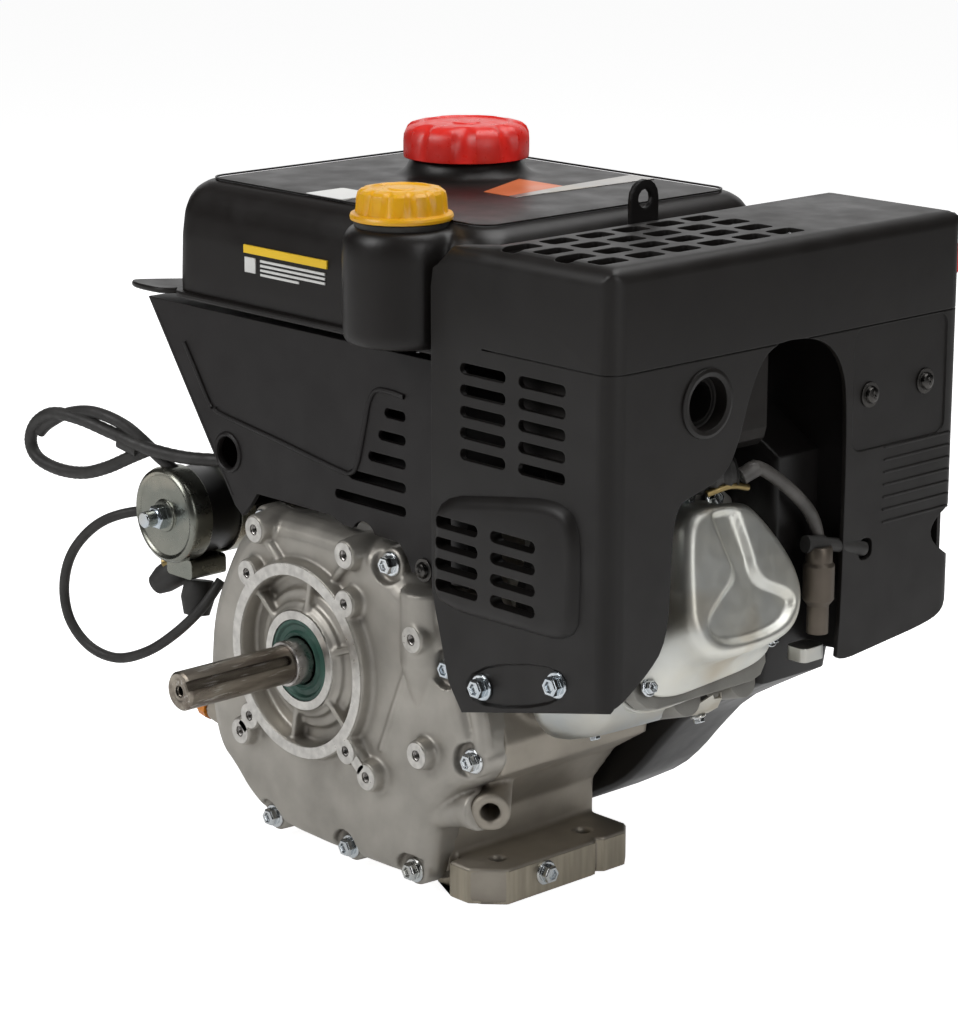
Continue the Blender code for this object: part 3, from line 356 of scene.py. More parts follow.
def piece(name, shapes, material, body="engine", angle=35, replaces=()):
    return dress(new_object(name, shapes), material, body, angle, replaces)


# ---------------------------------------------------------------- materials
class Surface:
    """A Principled material with its nodes laid out by small steps."""

    def __init__(self, name, roughness, metallic, edge=0.8):
        self.material = bpy.data.materials.new(name)
        self.material.use_nodes = True
        self.tree = self.material.node_tree
        self.shader = self.tree.nodes["Principled BSDF"]
        self.shader.inputs["Roughness"].default_value = roughness
        self.shader.inputs["Metallic"].default_value = metallic
        self.place = self.add("ShaderNodeTexCoord").outputs["Object"]
        bevel = self.add("ShaderNodeBevel")
        bevel.samples = 4
        bevel.inputs["Radius"].default_value = edge * MM
        self.normal = bevel.outputs["Normal"]
        self.link(self.normal, self.shader.inputs["Normal"])

    def add(self, kind, **values):
        node = self.tree.nodes.new(kind)
        for key, value in values.items():
            node.inputs[key].default_value = value
        return node

    def link(self, output, target):
        self.tree.links.new(output, target)

    def noise(self, scale, detail=4.0, stretch=(1, 1, 1)):
        """Noise in object space; scale is in features per metre."""
        mapping = self.add("ShaderNodeMapping")
        mapping.inputs["Scale"].default_value = stretch
        self.link(self.place, mapping.inputs["Vector"])
        noise = self.add("ShaderNodeTexNoise", Scale=scale, Detail=detail)
        self.link(mapping.outputs["Vector"], noise.inputs["Vector"])
        return noise.outputs["Fac"]

    def ramp(self, value, low, high, to_low=0.0, to_high=1.0):
        node = self.add("ShaderNodeMapRange")
        settings = (low, high, to_low, to_high)
        for key, number in zip(("From Min", "From Max", "To Min", "To Max"), settings):
            node.inputs[key].default_value = number
        self.link(value, node.inputs["Value"])
        return node.outputs["Result"]

    def blend(self, factor, first, second):
        """Mix two colours, each a triple or a socket."""
        node = self.add("ShaderNodeMix")
        node.data_type = "RGBA"
        self.link(factor, node.inputs[0])
        for socket, colour in ((node.inputs[6], first), (node.inputs[7], second)):
            if isinstance(colour, tuple):
                socket.default_value = (*colour, 1)
            else:
                self.link(colour, socket)
        return node.outputs[2]

    def occlusion_shade(self, reach):
        """Ambient occlusion: 0 in tight corners, 1 in the open. It paints shade into a colour where light
        is blocked.
        """
        node = self.add("ShaderNodeAmbientOcclusion", Distance=reach * MM)
        node.samples = 4
        return node.outputs["AO"]

    def bump(self, height, strength, depth):
        node = self.add("ShaderNodeBump", Strength=strength, Distance=depth * MM)
        self.link(height, node.inputs["Height"])
        self.link(self.normal, node.inputs["Normal"])
        self.normal = node.outputs["Normal"]
        self.link(self.normal, self.shader.inputs["Normal"])

    def colour(self, value):
        self.link(value, self.shader.inputs["Base Color"])

    def roughness(self, value):
        self.link(value, self.shader.inputs["Roughness"])


def cast_metal(name, light, crevice_shade, roughness=0.48, edge=1.2, metallic=0.8):
    s = Surface(name, roughness, metallic, edge)
    mottle = s.ramp(s.noise(28, 5), 0.35, 0.68)
    base = s.blend(mottle, light, tuple(0.80 * c for c in light))
    # Painted shade: the colour turns to the crevice shade in corners and hollows, where the occlusion mask
    # is low.
    s.colour(s.blend(s.ramp(s.occlusion_shade(9), 0.25, 0.85), crevice_shade, base))
    s.roughness(s.ramp(s.noise(60, 4), 0.3, 0.7, roughness - 0.07, roughness + 0.1))
    s.bump(s.noise(900, 3), 0.35, 0.12)
    s.bump(s.noise(130, 3), 0.25, 0.35)
    return s.material


def machined_metal(name, tone, roughness=0.3, streak=(1, 1, 1), edge=0.4):
    s = Surface(name, roughness, 1.0, edge)
    worn = s.ramp(s.noise(160, 6, streak), 0.3, 0.7)
    s.colour(s.blend(worn, tone, tuple(0.72 * c for c in tone)))
    s.roughness(s.ramp(s.noise(240, 4, streak), 0.3, 0.7, roughness - 0.08, roughness + 0.12))
    s.bump(s.noise(1400, 2, streak), 0.2, 0.05)
    return s.material


def worn_shaft():
    """Bare steel with brown oil film and bright rubbed stretches, streaked along the shaft."""
    s = Surface("worn_shaft", 0.3, 0.95, 0.4)
    film = s.ramp(s.noise(90, 6, (1, 0.18, 1)), 0.38, 0.62)
    base = s.blend(film, (0.40, 0.36, 0.30), (0.17, 0.14, 0.115))
    scratch = s.ramp(s.noise(420, 4, (1, 0.12, 1)), 0.60, 0.72)
    worn = s.blend(scratch, base, (0.60, 0.57, 0.52))
    # Painted shade: the colour turns near black in the corners and hollows of the shaft, where the
    # occlusion mask is low.
    s.colour(s.blend(s.ramp(s.occlusion_shade(7), 0.35, 0.75), (0.035, 0.027, 0.022), worn))
    s.roughness(s.ramp(s.noise(70, 5, (1, 0.3, 1)), 0.3, 0.7, 0.2, 0.48))
    s.bump(s.noise(700, 3, (1, 0.2, 1)), 0.3, 0.06)
    return s.material


def moulded_plastic(name, tone, roughness=0.42, grain=0.3, edge=1.0):
    s = Surface(name, roughness, 0.0, edge)
    drift = s.ramp(s.noise(9, 3), 0.35, 0.65)
    s.colour(s.blend(drift, tone, tuple(1.25 * c for c in tone)))
    s.roughness(s.ramp(s.noise(45, 4), 0.3, 0.7, roughness - 0.05, roughness + 0.07))
    s.bump(s.noise(1500, 2), grain, 0.05)
    s.bump(s.noise(14, 2), 0.12, 1.5)
    s.shader.inputs["Specular IOR Level"].default_value = 0.38
    return s.material


def zinc_plate(name, tone=(0.60, 0.59, 0.54), tint=(0.53, 0.55, 0.54), roughness=0.36):
    """Plated sheet: bright, with faint blue and straw patches."""
    s = Surface(name, roughness, 1.0, 0.8)
    patches = s.ramp(s.noise(26, 3), 0.35, 0.65)
    straw = s.ramp(s.noise(17, 2), 0.55, 0.72)
    base = s.blend(patches, tone, tint)
    s.colour(s.blend(straw, base, (0.62, 0.56, 0.45)))
    s.roughness(s.ramp(s.noise(120, 4), 0.3, 0.7, roughness - 0.02, roughness + 0.04))
    s.bump(s.noise(1100, 3), 0.12, 0.04)
    return s.material


def rubber(name, tone=(0.022, 0.021, 0.020), roughness=0.55):
    s = Surface(name, roughness, 0.0, 0.5)
    s.colour(s.blend(s.ramp(s.noise(60, 4), 0.3, 0.7), tone, tuple(1.9 * c for c in tone)))
    s.roughness(s.ramp(s.noise(200, 3), 0.3, 0.7, roughness - 0.1, roughness + 0.12))
    s.bump(s.noise(1800, 3), 0.35, 0.08)
    return s.material


def gloss_plastic(name, tone, shade):
    """Coloured cap: light passes a little way in, so its edges glow."""
    s = Surface(name, 0.32, 0.0, 0.8)
    s.colour(s.blend(s.ramp(s.noise(70, 4), 0.3, 0.7), tone, shade))
    s.roughness(s.ramp(s.noise(220, 3), 0.3, 0.7, 0.26, 0.42))
    s.bump(s.noise(1300, 2), 0.15, 0.05)
    s.shader.inputs["Subsurface Weight"].default_value = 0.15
    s.shader.inputs["Subsurface Radius"].default_value = (0.004, 0.002, 0.001)
    return s.material


ALUMINIUM = cast_metal("cast_aluminium", (0.50, 0.475, 0.43), (0.16, 0.14, 0.12))
FOOT_METAL = cast_metal("crankcase_aluminium", (0.46, 0.42, 0.36), (0.12, 0.10, 0.08), 0.5, 2.5)
HEAD_METAL = cast_metal("head_aluminium", (0.44, 0.43, 0.40), (0.10, 0.09, 0.08), 0.5, 1.0)
CAST_IRON = cast_metal("grey_iron", (0.16, 0.16, 0.165), (0.04, 0.04, 0.04), 0.6)
DARK_STEEL = cast_metal("dark_steel", (0.035, 0.032, 0.030), (0.010, 0.010, 0.010), 0.5)
MACHINED = machined_metal("machined_face", (0.74, 0.72, 0.68), 0.34)
MILLED = machined_metal("milled_tan", (0.50, 0.45, 0.36), 0.42, (1, 1, 0.12))
STEEL = machined_metal("plain_steel", (0.52, 0.50, 0.48), 0.3)
SHAFT = worn_shaft()
FILTER_BROWN = cast_metal("filter_brown", (0.16, 0.135, 0.11), (0.04, 0.035, 0.03), 0.45)
ZINC = zinc_plate("zinc_plate")
# Pressed, rougher zinc sheet. Its tone is painted lighter than the plain zinc, a painted highlight that
# lifts the valve cover and head plate out of their shade.
PRESSED_ZINC_PAINTED_BRIGHT = zinc_plate("pressed_zinc_painted_bright", (0.80, 0.79, 0.72), (0.72, 0.73, 0.70), 0.46)
BOLT_ZINC = zinc_plate("bolt_zinc", (0.80, 0.82, 0.83), (0.62, 0.68, 0.73), 0.18)
STARTER_ZINC = zinc_plate("starter_zinc", (0.30, 0.30, 0.26), (0.24, 0.25, 0.22), 0.27)
HOOD_BLACK = moulded_plastic("hood_black", (0.0105, 0.0090, 0.0082), 0.42)
TANK_BLACK = moulded_plastic("tank_black", (0.0100, 0.0083, 0.0076), 0.38, 0.2)
SHROUD_BLACK = moulded_plastic("shroud_black", (0.0085, 0.0068, 0.0066), 0.46)
HOUSING_BLACK = moulded_plastic("housing_black", (0.0075, 0.0066, 0.0064), 0.34, 0.2, 2.0)
DARK_SCREW = machined_metal("dark_screw", (0.10, 0.095, 0.09), 0.28)
RUBBER = rubber("black_rubber")
HOSE_GREY = rubber("grey_hose", (0.060, 0.056, 0.052), 0.4)
SEAL_GREEN = rubber("seal_green", (0.020, 0.060, 0.045), 0.45)
RED = gloss_plastic("red_cap", (0.86, 0.034, 0.024), (0.74, 0.024, 0.018))
YELLOW = gloss_plastic("yellow_cap", (0.90, 0.47, 0.015), (0.82, 0.40, 0.010))
ORANGE = gloss_plastic("orange_plug", (0.85, 0.28, 0.02), (0.75, 0.22, 0.01))
BRASS = machined_metal("aged_brass", (0.36, 0.27, 0.12), 0.4)
CERAMIC = gloss_plastic("glazed_ceramic", (0.82, 0.81, 0.76), (0.76, 0.75, 0.70))
LABEL_YELLOW = moulded_plastic("label_yellow", (0.85, 0.55, 0.03), 0.4, 0.1)
LABEL_WHITE = moulded_plastic("label_white", (0.70, 0.70, 0.68), 0.4, 0.1)
LABEL_ORANGE = moulded_plastic("label_orange", (0.60, 0.16, 0.06), 0.35, 0.1)
LABEL_SILVER = zinc_plate("label_silver", (0.55, 0.54, 0.52), (0.66, 0.62, 0.58), 0.3)


# ---------------------------------------------------------------- fasteners
def flange_bolt(origin, axis, size=1.0):
    """Hexagon flange bolt with a dished head; the axis points out of the head."""
    place = pointing(origin, axis)
    flange = [(0, 0), (8.2, 0), (8.2, 1.2), (7.4, 2.0), (0, 2.4)]
    head = [(circle(0, 0, 5.9, 6), 1.5), (circle(0, 0, 5.9, 6), 6.6), (circle(0, 0, 5.2, 6), 7.4),
            (circle(0, 0, 3.6, 6), 7.4), (circle(0, 0, 2.8, 6), 5.6)]
    scaled = [(radius * size, w * size) for radius, w in flange]
    rings = [([(u * size, v * size) for u, v in outline], w * size) for outline, w in head]
    return [turned(place, scaled, 32), loft(place, rings)]


def bolts(name, places, axis, size=1.0):
    shapes = []
    for origin in places:
        shapes += flange_bolt(origin, axis, size)
    piece(name, shapes, BOLT_ZINC, angle=30)


def pan_screw(origin, axis, radius=6.0):
    """Cross-head screw with a washer, for sheet panels."""
    place = pointing(origin, axis)
    r = radius
    washer = [(0, 0), (1.45 * r, 0), (1.45 * r, 1.0), (0, 1.3)]
    dome = [(0, 1), (r, 1), (r, 2.0), (0.85 * r, 3.6), (0.45 * r, 4.6), (0.30 * r, 4.6), (0, 2.4)]
    bars = [prism(place, turned_by(rectangle(-0.5 * r, -0.11 * r, 0.5 * r, 0.11 * r), angle), 3.2, 4.75)
            for angle in (20, 110)]
    return [turned(place, washer, 32), turned(place, dome, 32)] + bars


# ---------------------------------------------------------------- side cover and crankcase
def cover_plate():
    """Hollow cover that tapers from the split line to its front plate."""
    rim = softened(CASE_OUTLINE, 2)
    levels = [(0, SPLIT_Y - 0.4), (0, -68), (0.015, -73), (0.04, -78), (0.075, -82), (0.12, PLATE_Y)]
    plate = new_object("side_cover_skin", [loft(FRONT, [(drawn_in(rim, share), y) for share, y in levels])])
    pockets = [cylinder(FRONT, x, z, 12.5, -120, -76.6, 24) for x, z in COVER_BOLTS]
    cut(plate, *pockets)
    cut(plate, cylinder(CRANK, 0, 0, 57, -120, 0, 96),
        loft(FRONT, [(drawn_in(rim, 0.12), -76), (drawn_in(rim, 0.07), -66), (drawn_in(rim, 0.07), -50)]))
    return plate


def cover_ring():
    """Bearing floor, pilot ring wall and the six ribs between them."""
    floor = [(27.4, -72), (27.4, -89.6), (28, -90), (34, -90), (35.5, -87), (38.5, -86.6), (39.5, -83),
             (46, -82.6), (47, -79.6), (58, -79.6), (58, -72)]
    wall = [(57, -74), (57, FACE_Y), (66, FACE_Y), (67.5, PLATE_Y), (69, -74)]
    shapes = [turned(CRANK, floor, 96), turned(CRANK, wall, 96)]
    for number in range(6):
        bar = turned_by(rectangle(33, -2.0, 60, 2.0), 20 + 60 * number)
        shapes.append(prism(CRANK, bar, FACE_Y + 4, -78))
    return shapes


def cover_bosses():
    shapes = []
    for x, z in COVER_BOLTS:
        shapes.append(turned(FRONT, [(0, -60.4), (11, -60.4), (10.5, -75), (9.5, -77), (0, -77)], 24, x, z))
    for u, v in PILOT_HOLES:
        shapes.append(turned(CRANK, [(0, -78), (10.5, -78), (9.5, FACE_Y), (0, FACE_Y)], 24, u, v))
    for x, z in OUTER_BOSSES:
        profile = [(0, -64), (12.5, -64), (11, -84), (9.6, FACE_Y), (0, FACE_Y)]
        shapes.append(turned(FRONT, profile, 24, x, z))
    return shapes


def cover_ridges():
    """Upright boss, drain boss and the raised ribs and webs on the plate."""
    return [cylinder(TOP, 110, -75, 17.5, 158, 206, 32),
            turned(TOP, [(0, 124), (9, 130), (17.5, 158), (0, 158)], 32, 110, -75),
            tube([(125, -75, 197), (136, -76, 182), (147, -75, 160), (156, -74, 136), (160, -73, 110)], 6),
            tube([(70, -74, 36), (104, -70, 52), (134, -65, 64), (150, -66, 67)], 12, 20,
                 swell=lambda i: min(1.1, 0.35 + 0.04 * i)),
            tube([(106, -82, 170), (90, -83.5, 130), (74, -83.5, 92)], 2.2),
            tube([(-38, -86, 212), (-27, -86, 203), (-18, -85, 194)], 3.2),
            tube([(46, -86, 212), (38, -86, 204), (32, -84, 198)], 3.2),
            tube([(-57, -87.6, 80), (-50, -87.6, 88)], 5.2),
            tube([(66, -87.6, 77), (54, -87.6, 88)], 5.2)]


def make_side_cover():
    plate = cover_plate()
    shapes = [plate_mesh(plate)] + cover_ring() + cover_bosses() + cover_ridges()
    cover = new_object("side_cover_casting", shapes)
    bpy.data.objects.remove(plate)
    cast(cover, voxel=1.25, smoothing=5)
    taps = [cylinder(CRANK, u, v, 3.5, FACE_Y - 5, FACE_Y + 12, 20) for u, v in PILOT_HOLES]
    taps += [cylinder(FRONT, x, z, 3.7, FACE_Y - 5, FACE_Y + 12, 20) for x, z in OUTER_BOSSES]
    cut(cover, *taps)
    drain_axis = Vector((32, -32, -6))
    cut(cover, cylinder(pointing((126, -34, 73), drain_axis), 0, 0, 6.5, 20, 70, 24))
    dress(cover, ALUMINIUM, replaces=("side_cover",))


def make_machined_faces():
    """Bright milled faces of the pilot ring and of the bosses, with their tapped holes."""
    top, under = FACE_Y - 0.25, FACE_Y + 0.6
    ring = new_object("pilot_ring_face",
                      [turned(CRANK, [(57.6, top), (65.3, top), (65.3, under), (57.6, under)], 96)])
    fuse(ring, *[cylinder(CRANK, u, v, 8.6, top, under, 32) for u, v in PILOT_HOLES])
    links = [(-54.7, 80.8, -128), (61.5, 81.2, -40)]
    for x, z, angle in links:
        bar = [(x + u, z + v) for u, v in turned_by(rectangle(-4.6, -4.2, 4.6, 4.2), angle)]
        fuse(ring, prism(FRONT, bar, top, under))
    cut(ring, cylinder(CRANK, 0, 0, 57.6, top - 3, under + 3, 96))
    cut(ring, *[cylinder(CRANK, u, v, 3.5, top - 3, under + 3, 24) for u, v in PILOT_HOLES])
    dress(ring, MACHINED)
    shapes = [turned(FRONT, [(3.7, top), (8.4, top), (8.6, under), (3.7, under)], 32, x, z)
              for x, z in OUTER_BOSSES]
    piece("boss_faces", shapes, MACHINED)
    seat = [(27.5, -90.6), (33.2, -90.6), (34, -89.4), (34, -86), (27.5, -86)]
    piece("seal_seat", [turned(CRANK, seat, 64)], MACHINED)
    threads = []
    for place, centres in ((CRANK, PILOT_HOLES), (FRONT, OUTER_BOSSES)):
        for u, v in centres:
            profile = [(4.1, FACE_Y + 0.8)]
            for turn in range(8):
                w = FACE_Y + 0.8 + 1.25 * turn
                profile += [(3.1, w + 0.6), (3.6, w + 1.25)]
            profile += [(4.1, w + 1.25)]
            threads.append(turned(place, profile, 24, u, v))
    piece("tapped_threads", threads, STEEL, angle=60)


def make_cover_bolts():
    bolts("cover_bolts", [(x, -77, z) for x, z in COVER_BOLTS], -Y)
    bolts("drain_bolt", [(155, -15, 14)], X)


def make_seal_and_shaft():
    """Lipped seal, and the output shaft's centre hole, keywayed skin and shoulder."""
    lips = [(15.4, -84), (16.5, -89.6), (18.5, -90.4), (20, -88.4), (23.5, -88.4), (25, -89.8),
            (27.2, -89.8), (27.2, -84)]
    piece("seal_lips", [turned(CRANK, lips, 64)], SEAL_GREEN, replaces=("oil_seal",))
    end = box_mm("crankshaft_front")[0].y
    socket = [(0, end + 9), (3.4, end + 9), (3.4, end + 2), (4.3, end + 0.9), (6.2, end - 0.25),
              (8.2, end - 0.3), (8.6, end + 0.2), (4.4, end + 1.4), (4.2, end + 12), (0, end + 12)]
    piece("shaft_centre", [turned(CRANK, socket, 40)], SHAFT, "crank")
    barrel = [(4, end - 0.1), (11.4, end - 0.1), (12.78, end + 1.3), (12.78, FACE_Y - 7), (4, FACE_Y - 7)]
    skin = new_object("shaft_skin", [turned(CRANK, barrel, 64)])
    slot = rounded(end - 20, -3.2, FACE_Y - 12, 3.2, 3.1, 6)
    keyway = Frame(CRANK_CENTRE, Y, Z * KEYWAY.x - X * KEYWAY.z, KEYWAY)
    cut(skin, prism(keyway, slot, 8.4, 20))
    dress(skin, SHAFT, "crank")
    collar = [(12.9, FACE_Y - 10), (14.6, FACE_Y - 10), (15.1, FACE_Y - 9), (15.1, -90), (12.9, -90)]
    piece("shaft_shoulder", [turned(CRANK, collar, 48)], STEEL, "crank")


def make_milled_foot():
    """Thin band of bare, streaked metal round the sawn side faces of the right-hand foot."""
    edge = [(96, -54.3), (117, -54.3), (119.5, -65.3), (136.5, -65.3), (155.3, -47.5), (155.3, 30),
            (151.6, 34), (155.3, 38), (155.3, 57.5), (145.5, 68.3), (96, 68.3)]
    band = edge + [(x - 1.4, y * 0.985) for x, y in reversed(edge)]
    piece("foot_milled_sides", [prism(TOP, band, 0.8, 22.4)], MILLED, angle=20)


# ---------------------------------------------------------------- hood
HOOD_LEFT, HOOD_RIGHT = HOOD_LOW.x, HOOD_HIGH.x
HOOD_BODY_LEFT = 176.0               # where the hood stands beside the tank
HOOD_FRONT, HOOD_REAR = -93.0, 223.0
HOOD_WALL = 3.2
THROUGH_SIDE = (HOOD_RIGHT - 12, HOOD_RIGHT + 6)
PORT = (-13, 345)                    # round muffler port in the side wall, as (y, z)
SIDE_OPENING = [(-100, 60), (-100, 164), (-63, 185), (-43, 205), (-41, 254), (-38, 286), (-23, 291),
                (3, 297), (15, 315), (23, 341), (31, 358), (40, 369), (57, 374), (89, 370),
                (107, 354), (114, 327), (113, 200), (111, 170), (110, 159), (150, 163), (200, 168),
                (214, 174), (222, 188), (250, 190), (260, 60)]


def hood_ring(depth, left, shrink=0.0, low=169):
    """Front view outline with its top and right sides drawn in by a depth, for a rolled edge."""
    right, top = HOOD_RIGHT - shrink, HOOD_HIGH.z - shrink
    points = [(161, 141), (right, low - shrink * 20)]
    points += arc(right - 10, top - 10, 10, 0, 90, 6)
    points += [(183, top), (150, 430 - shrink), (136, 416), (HOOD_LEFT, 404), (HOOD_LEFT, 214), (149, 158)]
    return [(min(max(x, left), right - depth), min(z, top - depth)) for x, z in points]


def rolled(radius, start, sign, left, shrink=0.0, low=169, steps=6):
    """Rings of a quarter-round edge that begins at a y and rolls towards sign."""
    rings = []
    for i in range(steps + 1):
        angle = math.radians(90 * i / steps)
        rings.append((hood_ring(radius * (1 - math.sin(angle)), left, shrink, low),
                      start + sign * radius * (1 - math.cos(angle))))
    return rings


def slot_row(columns, rows, half_width, half_height):
    """Cutters for a field of level slots in the front wall."""
    shapes = []
    for x in columns:
        for z in rows:
            outline = rounded(x - half_width, z - half_height, x + half_width, z + half_height,
                              half_height - 0.1, 4)
            shapes.append(prism(FRONT, outline, HOOD_FRONT - 12, HOOD_FRONT + 14))
    return shapes


def hood_body():
    """Box with rolled edges and a raised louvre field, hollow and open below."""
    front = rolled(12, HOOD_FRONT, 1, HOOD_LEFT)
    rear = rolled(12, HOOD_REAR, -1, HOOD_BODY_LEFT, low=150)
    rings = front + [(hood_ring(0, HOOD_LEFT), -80), (hood_ring(0, HOOD_BODY_LEFT, low=150), -79.5)]
    rings += list(reversed(rear))
    hood = new_object("hood_shell", [loft(FRONT, rings)])
    bulge = softened([(140, 275), (196, 285), (248, 293), (264, 281), (265, 240), (262, 207),
                      (205, 206), (149, 205), (137, 214), (138, 245)], 2)
    fuse(hood, loft(FRONT, [(bulge, -88), (bulge, -93.5), (inset(bulge, 2.5), -96.6),
                            (inset(bulge, 5), -98), (inset(bulge, 8), -98.5)]))
    inner_left = HOOD_LEFT + HOOD_WALL
    hollow = rolled(9, HOOD_FRONT + 4, 1, inner_left, HOOD_WALL)
    hollow += list(reversed(rolled(9, HOOD_REAR - HOOD_WALL, -1, inner_left, HOOD_WALL)))
    cut(hood, loft(FRONT, hollow))
    cut(hood, prism(FRONT, rectangle(100, 60, HOOD_RIGHT - HOOD_WALL, 200), -84, HOOD_REAR - HOOD_WALL))
    return hood


def cut_hood_openings(hood):
    """Large opening over the cylinder head, muffler port and the notch in the rear wall."""
    cut(hood, prism(SIDE, softened(SIDE_OPENING, 2), *THROUGH_SIDE),
        cylinder(SIDE, *PORT, 18, *THROUGH_SIDE, 48))
    cut(hood, prism(FRONT, rectangle(170, 100, HOOD_RIGHT - HOOD_WALL, 188), 205, 240))


def cut_hood_front(hood):
    """Shallow bolt plate and two fields of cooling slots."""
    plate = softened([(164, 174), (254, 195), (255, 166), (165, 143)], 2)
    cut(hood, loft(FRONT, [(inset(plate, -0.5), HOOD_FRONT - 2), (inset(plate, 2.5), HOOD_FRONT + 2.2)]))
    cut(hood, *slot_row((180, 231), [358 - 13.2 * i for i in range(5)], 20, 3.6))
    cut(hood, *slot_row((162, 212), [261 - 13.3 * i for i in range(4)], 19.5, 3.7))


def cut_hood_top(hood):
    """Grid of slots over the muffler."""
    grid = []
    for row, x in enumerate((196, 218.5, 241, 263.5)):
        for number in range(6):
            y = -76 + 30.3 * number + (4 if row % 2 else 0)
            grid.append(prism(TOP, rounded(x - 7.5, y - 11.5, x + 7.5, y + 11.5, 3.5, 4), 424, 440))
    cut(hood, *grid)


def cut_hood_side(hood):
    """Seam line, sunk screw panel, hose slot, corner notch and the row of thin ribs."""
    around = rounded(HOOD_BODY_LEFT, HOOD_FRONT, HOOD_RIGHT, HOOD_REAR, 12, 6)
    cut(hood, loft(TOP, [(inset(around, -3), 371.5), (inset(around, -3), 372.4),
                         (inset(around, 0.8), 372.4), (inset(around, 0.8), 371.5)], closed=True))
    panel = rounded(119, 293, 208, 371, 8, 5)
    cut(hood, prism(SIDE, panel, HOOD_RIGHT - 0.9, HOOD_RIGHT + 4))
    hose_slot = rounded(128, 222, 141, 236, 5, 4)
    notch = softened([(235, 252), (222, 246), (201, 236), (197, 224), (217, 209), (235, 205)], 2)
    cut(hood, prism(SIDE, hose_slot, HOOD_RIGHT - 9, HOOD_RIGHT + 4), prism(SIDE, notch, *THROUGH_SIDE),
        cylinder(FRONT, 232, 300, 17, HOOD_REAR - 12, HOOD_REAR + 10, 40))
    ribs = []
    for z in [308 - 8.1 * i for i in range(2, 9)]:
        outline = rounded(150, z - 0.7, 214, z + 0.7, 0.6, 2)
        ribs.append(prism(SIDE, outline, HOOD_RIGHT - 1, HOOD_RIGHT + 0.7))
    fuse(hood, *ribs)


def make_hood():
    hood = hood_body()
    cut_hood_openings(hood)
    cut_hood_front(hood)
    cut_hood_top(hood)
    cut_hood_side(hood)
    dress(hood, HOOD_BLACK, replaces=("hood",))


def make_hood_fixings():
    port = [(16.2, HOOD_RIGHT - 8), (18, HOOD_RIGHT - 8), (19, HOOD_RIGHT - 0.4),
            (21.5, HOOD_RIGHT - 0.2), (21.2, HOOD_RIGHT + 1.2), (19, HOOD_RIGHT + 2.0),
            (16.2, HOOD_RIGHT + 1.2)]
    piece("port_grommet", [turned(SIDE, port, 48, *PORT)], HOOD_BLACK)
    bolts("hood_bolts", [(178, HOOD_FRONT + 1.8, 161), (244, HOOD_FRONT + 1.8, 178)], -Y, size=1.05)
    screws = []
    for y, z in ((135, 328), (188, 329)):
        screws += pan_screw((HOOD_RIGHT - 0.8, y, z), X, 5.6)
    screws += pan_screw((108, -76.2, 218), -Y, 5.2)
    piece("panel_screws", screws, DARK_SCREW)


# ---------------------------------------------------------------- tank and caps
OIL_X, OIL_Y = 92.0, -79.0
FILLER_X, FILLER_Y = -22.0, 79.0
TANK_FRONT, TANK_TOP = -78.0, 438.0


def make_tank():
    left, right, front, rear = -146.0, 164.0, TANK_FRONT, 178.0
    levels = [(0.0, 358), (0.0, 372), (0.8, 400), (2.4, 416), (5.2, 425), (9.4, 431.5), (15, 435.5),
              (23, 437.4), (34, TANK_TOP)]
    rings = [(rounded(left + d, front + d, right - d, rear - d, max(4.0, 22 - 0.4 * d), 8), z)
             for d, z in levels]
    tank = new_object("tank_shell", [loft(TOP, rings)])
    boss = [(0, 362), (34, 362), (37, 366), (37, 420), (36, 428), (33, 433), (28, 435.5), (0, 435.5)]
    filler = [(0, 430), (48, 430), (44, 438), (39, 444), (37.5, 449), (0, 449)]
    fuse(tank, turned(TOP, boss, 64, OIL_X, OIL_Y), turned(TOP, filler, 64, FILLER_X, FILLER_Y),
         loft(TOP, [(rounded(60, -80, 124, -60, 8, 4), 363), (rounded(66, -80, 118, -60, 8, 4), 434)]))
    cast(tank, voxel=2.2, smoothing=8)
    dress(tank, TANK_BLACK, replaces=("fuel_tank",))
    lip = rounded(left - 3, front - 3.2, right + 1, rear + 2, 24, 8)
    shapes = [loft(TOP, [(lip, 358.4), (inset(lip, -0.8), 359.4), (inset(lip, -0.8), 361.4),
                         (lip, 362.4), (inset(lip, 5), 362.4), (inset(lip, 5), 358.4)], closed=True)]
    ear = softened([(-141, -80.5), (-172, -83), (-189, -78), (-186, -70), (-168, -48), (-150, -26),
                    (-141, -24)], 2)
    shapes.append(loft(TOP, [(ear, 358.4), (inset(ear, -0.8), 359.4), (inset(ear, -0.8), 361.2),
                             (ear, 362.2)]))
    piece("tank_lip", shapes, TANK_BLACK)
    seam = rounded(left + 19, front + 19, right - 19, rear - 19, 14, 8)
    piece("tank_top_seam", [loft(TOP, [(seam, 437.0), (seam, 438.1), (inset(seam, 1.4), 438.1),
                                       (inset(seam, 1.4), 437.0)], closed=True)],
          TANK_BLACK)


def make_labels():
    """Plain stickers without lettering: a yellow strip over white lines, and strips on top."""
    def bar(x0, z0, x1, z1):
        return prism(FRONT, rectangle(x0, z0, x1, z1), TANK_FRONT - 0.25, TANK_FRONT + 1.2)

    piece("label_bar", [bar(-65, 397, 19, 402.4)], LABEL_YELLOW)
    lines = [bar(-48, 392.6 - 3 * i, 17 - (26 if i == 3 else 0), 394.2 - 3 * i) for i in range(4)]
    lines.append(bar(-64, 384.5, -53, 394.5))
    piece("label_lines", lines, LABEL_WHITE)
    piece("label_white_top", [prism(TOP, rounded(-26, -58, 10, -26, 2), 436, 438.3)],
          LABEL_WHITE)
    piece("label_orange_top", [prism(TOP, [(48, 30), (72, 30), (66, 84), (24, 84)], 436, 438.35)],
          LABEL_ORANGE)
    strip = [(66, 84), (72, 30), (78, 30), (84, 150), (62, 150)]
    piece("label_silver_top", [prism(TOP, strip, 436, 438.4)], LABEL_SILVER)


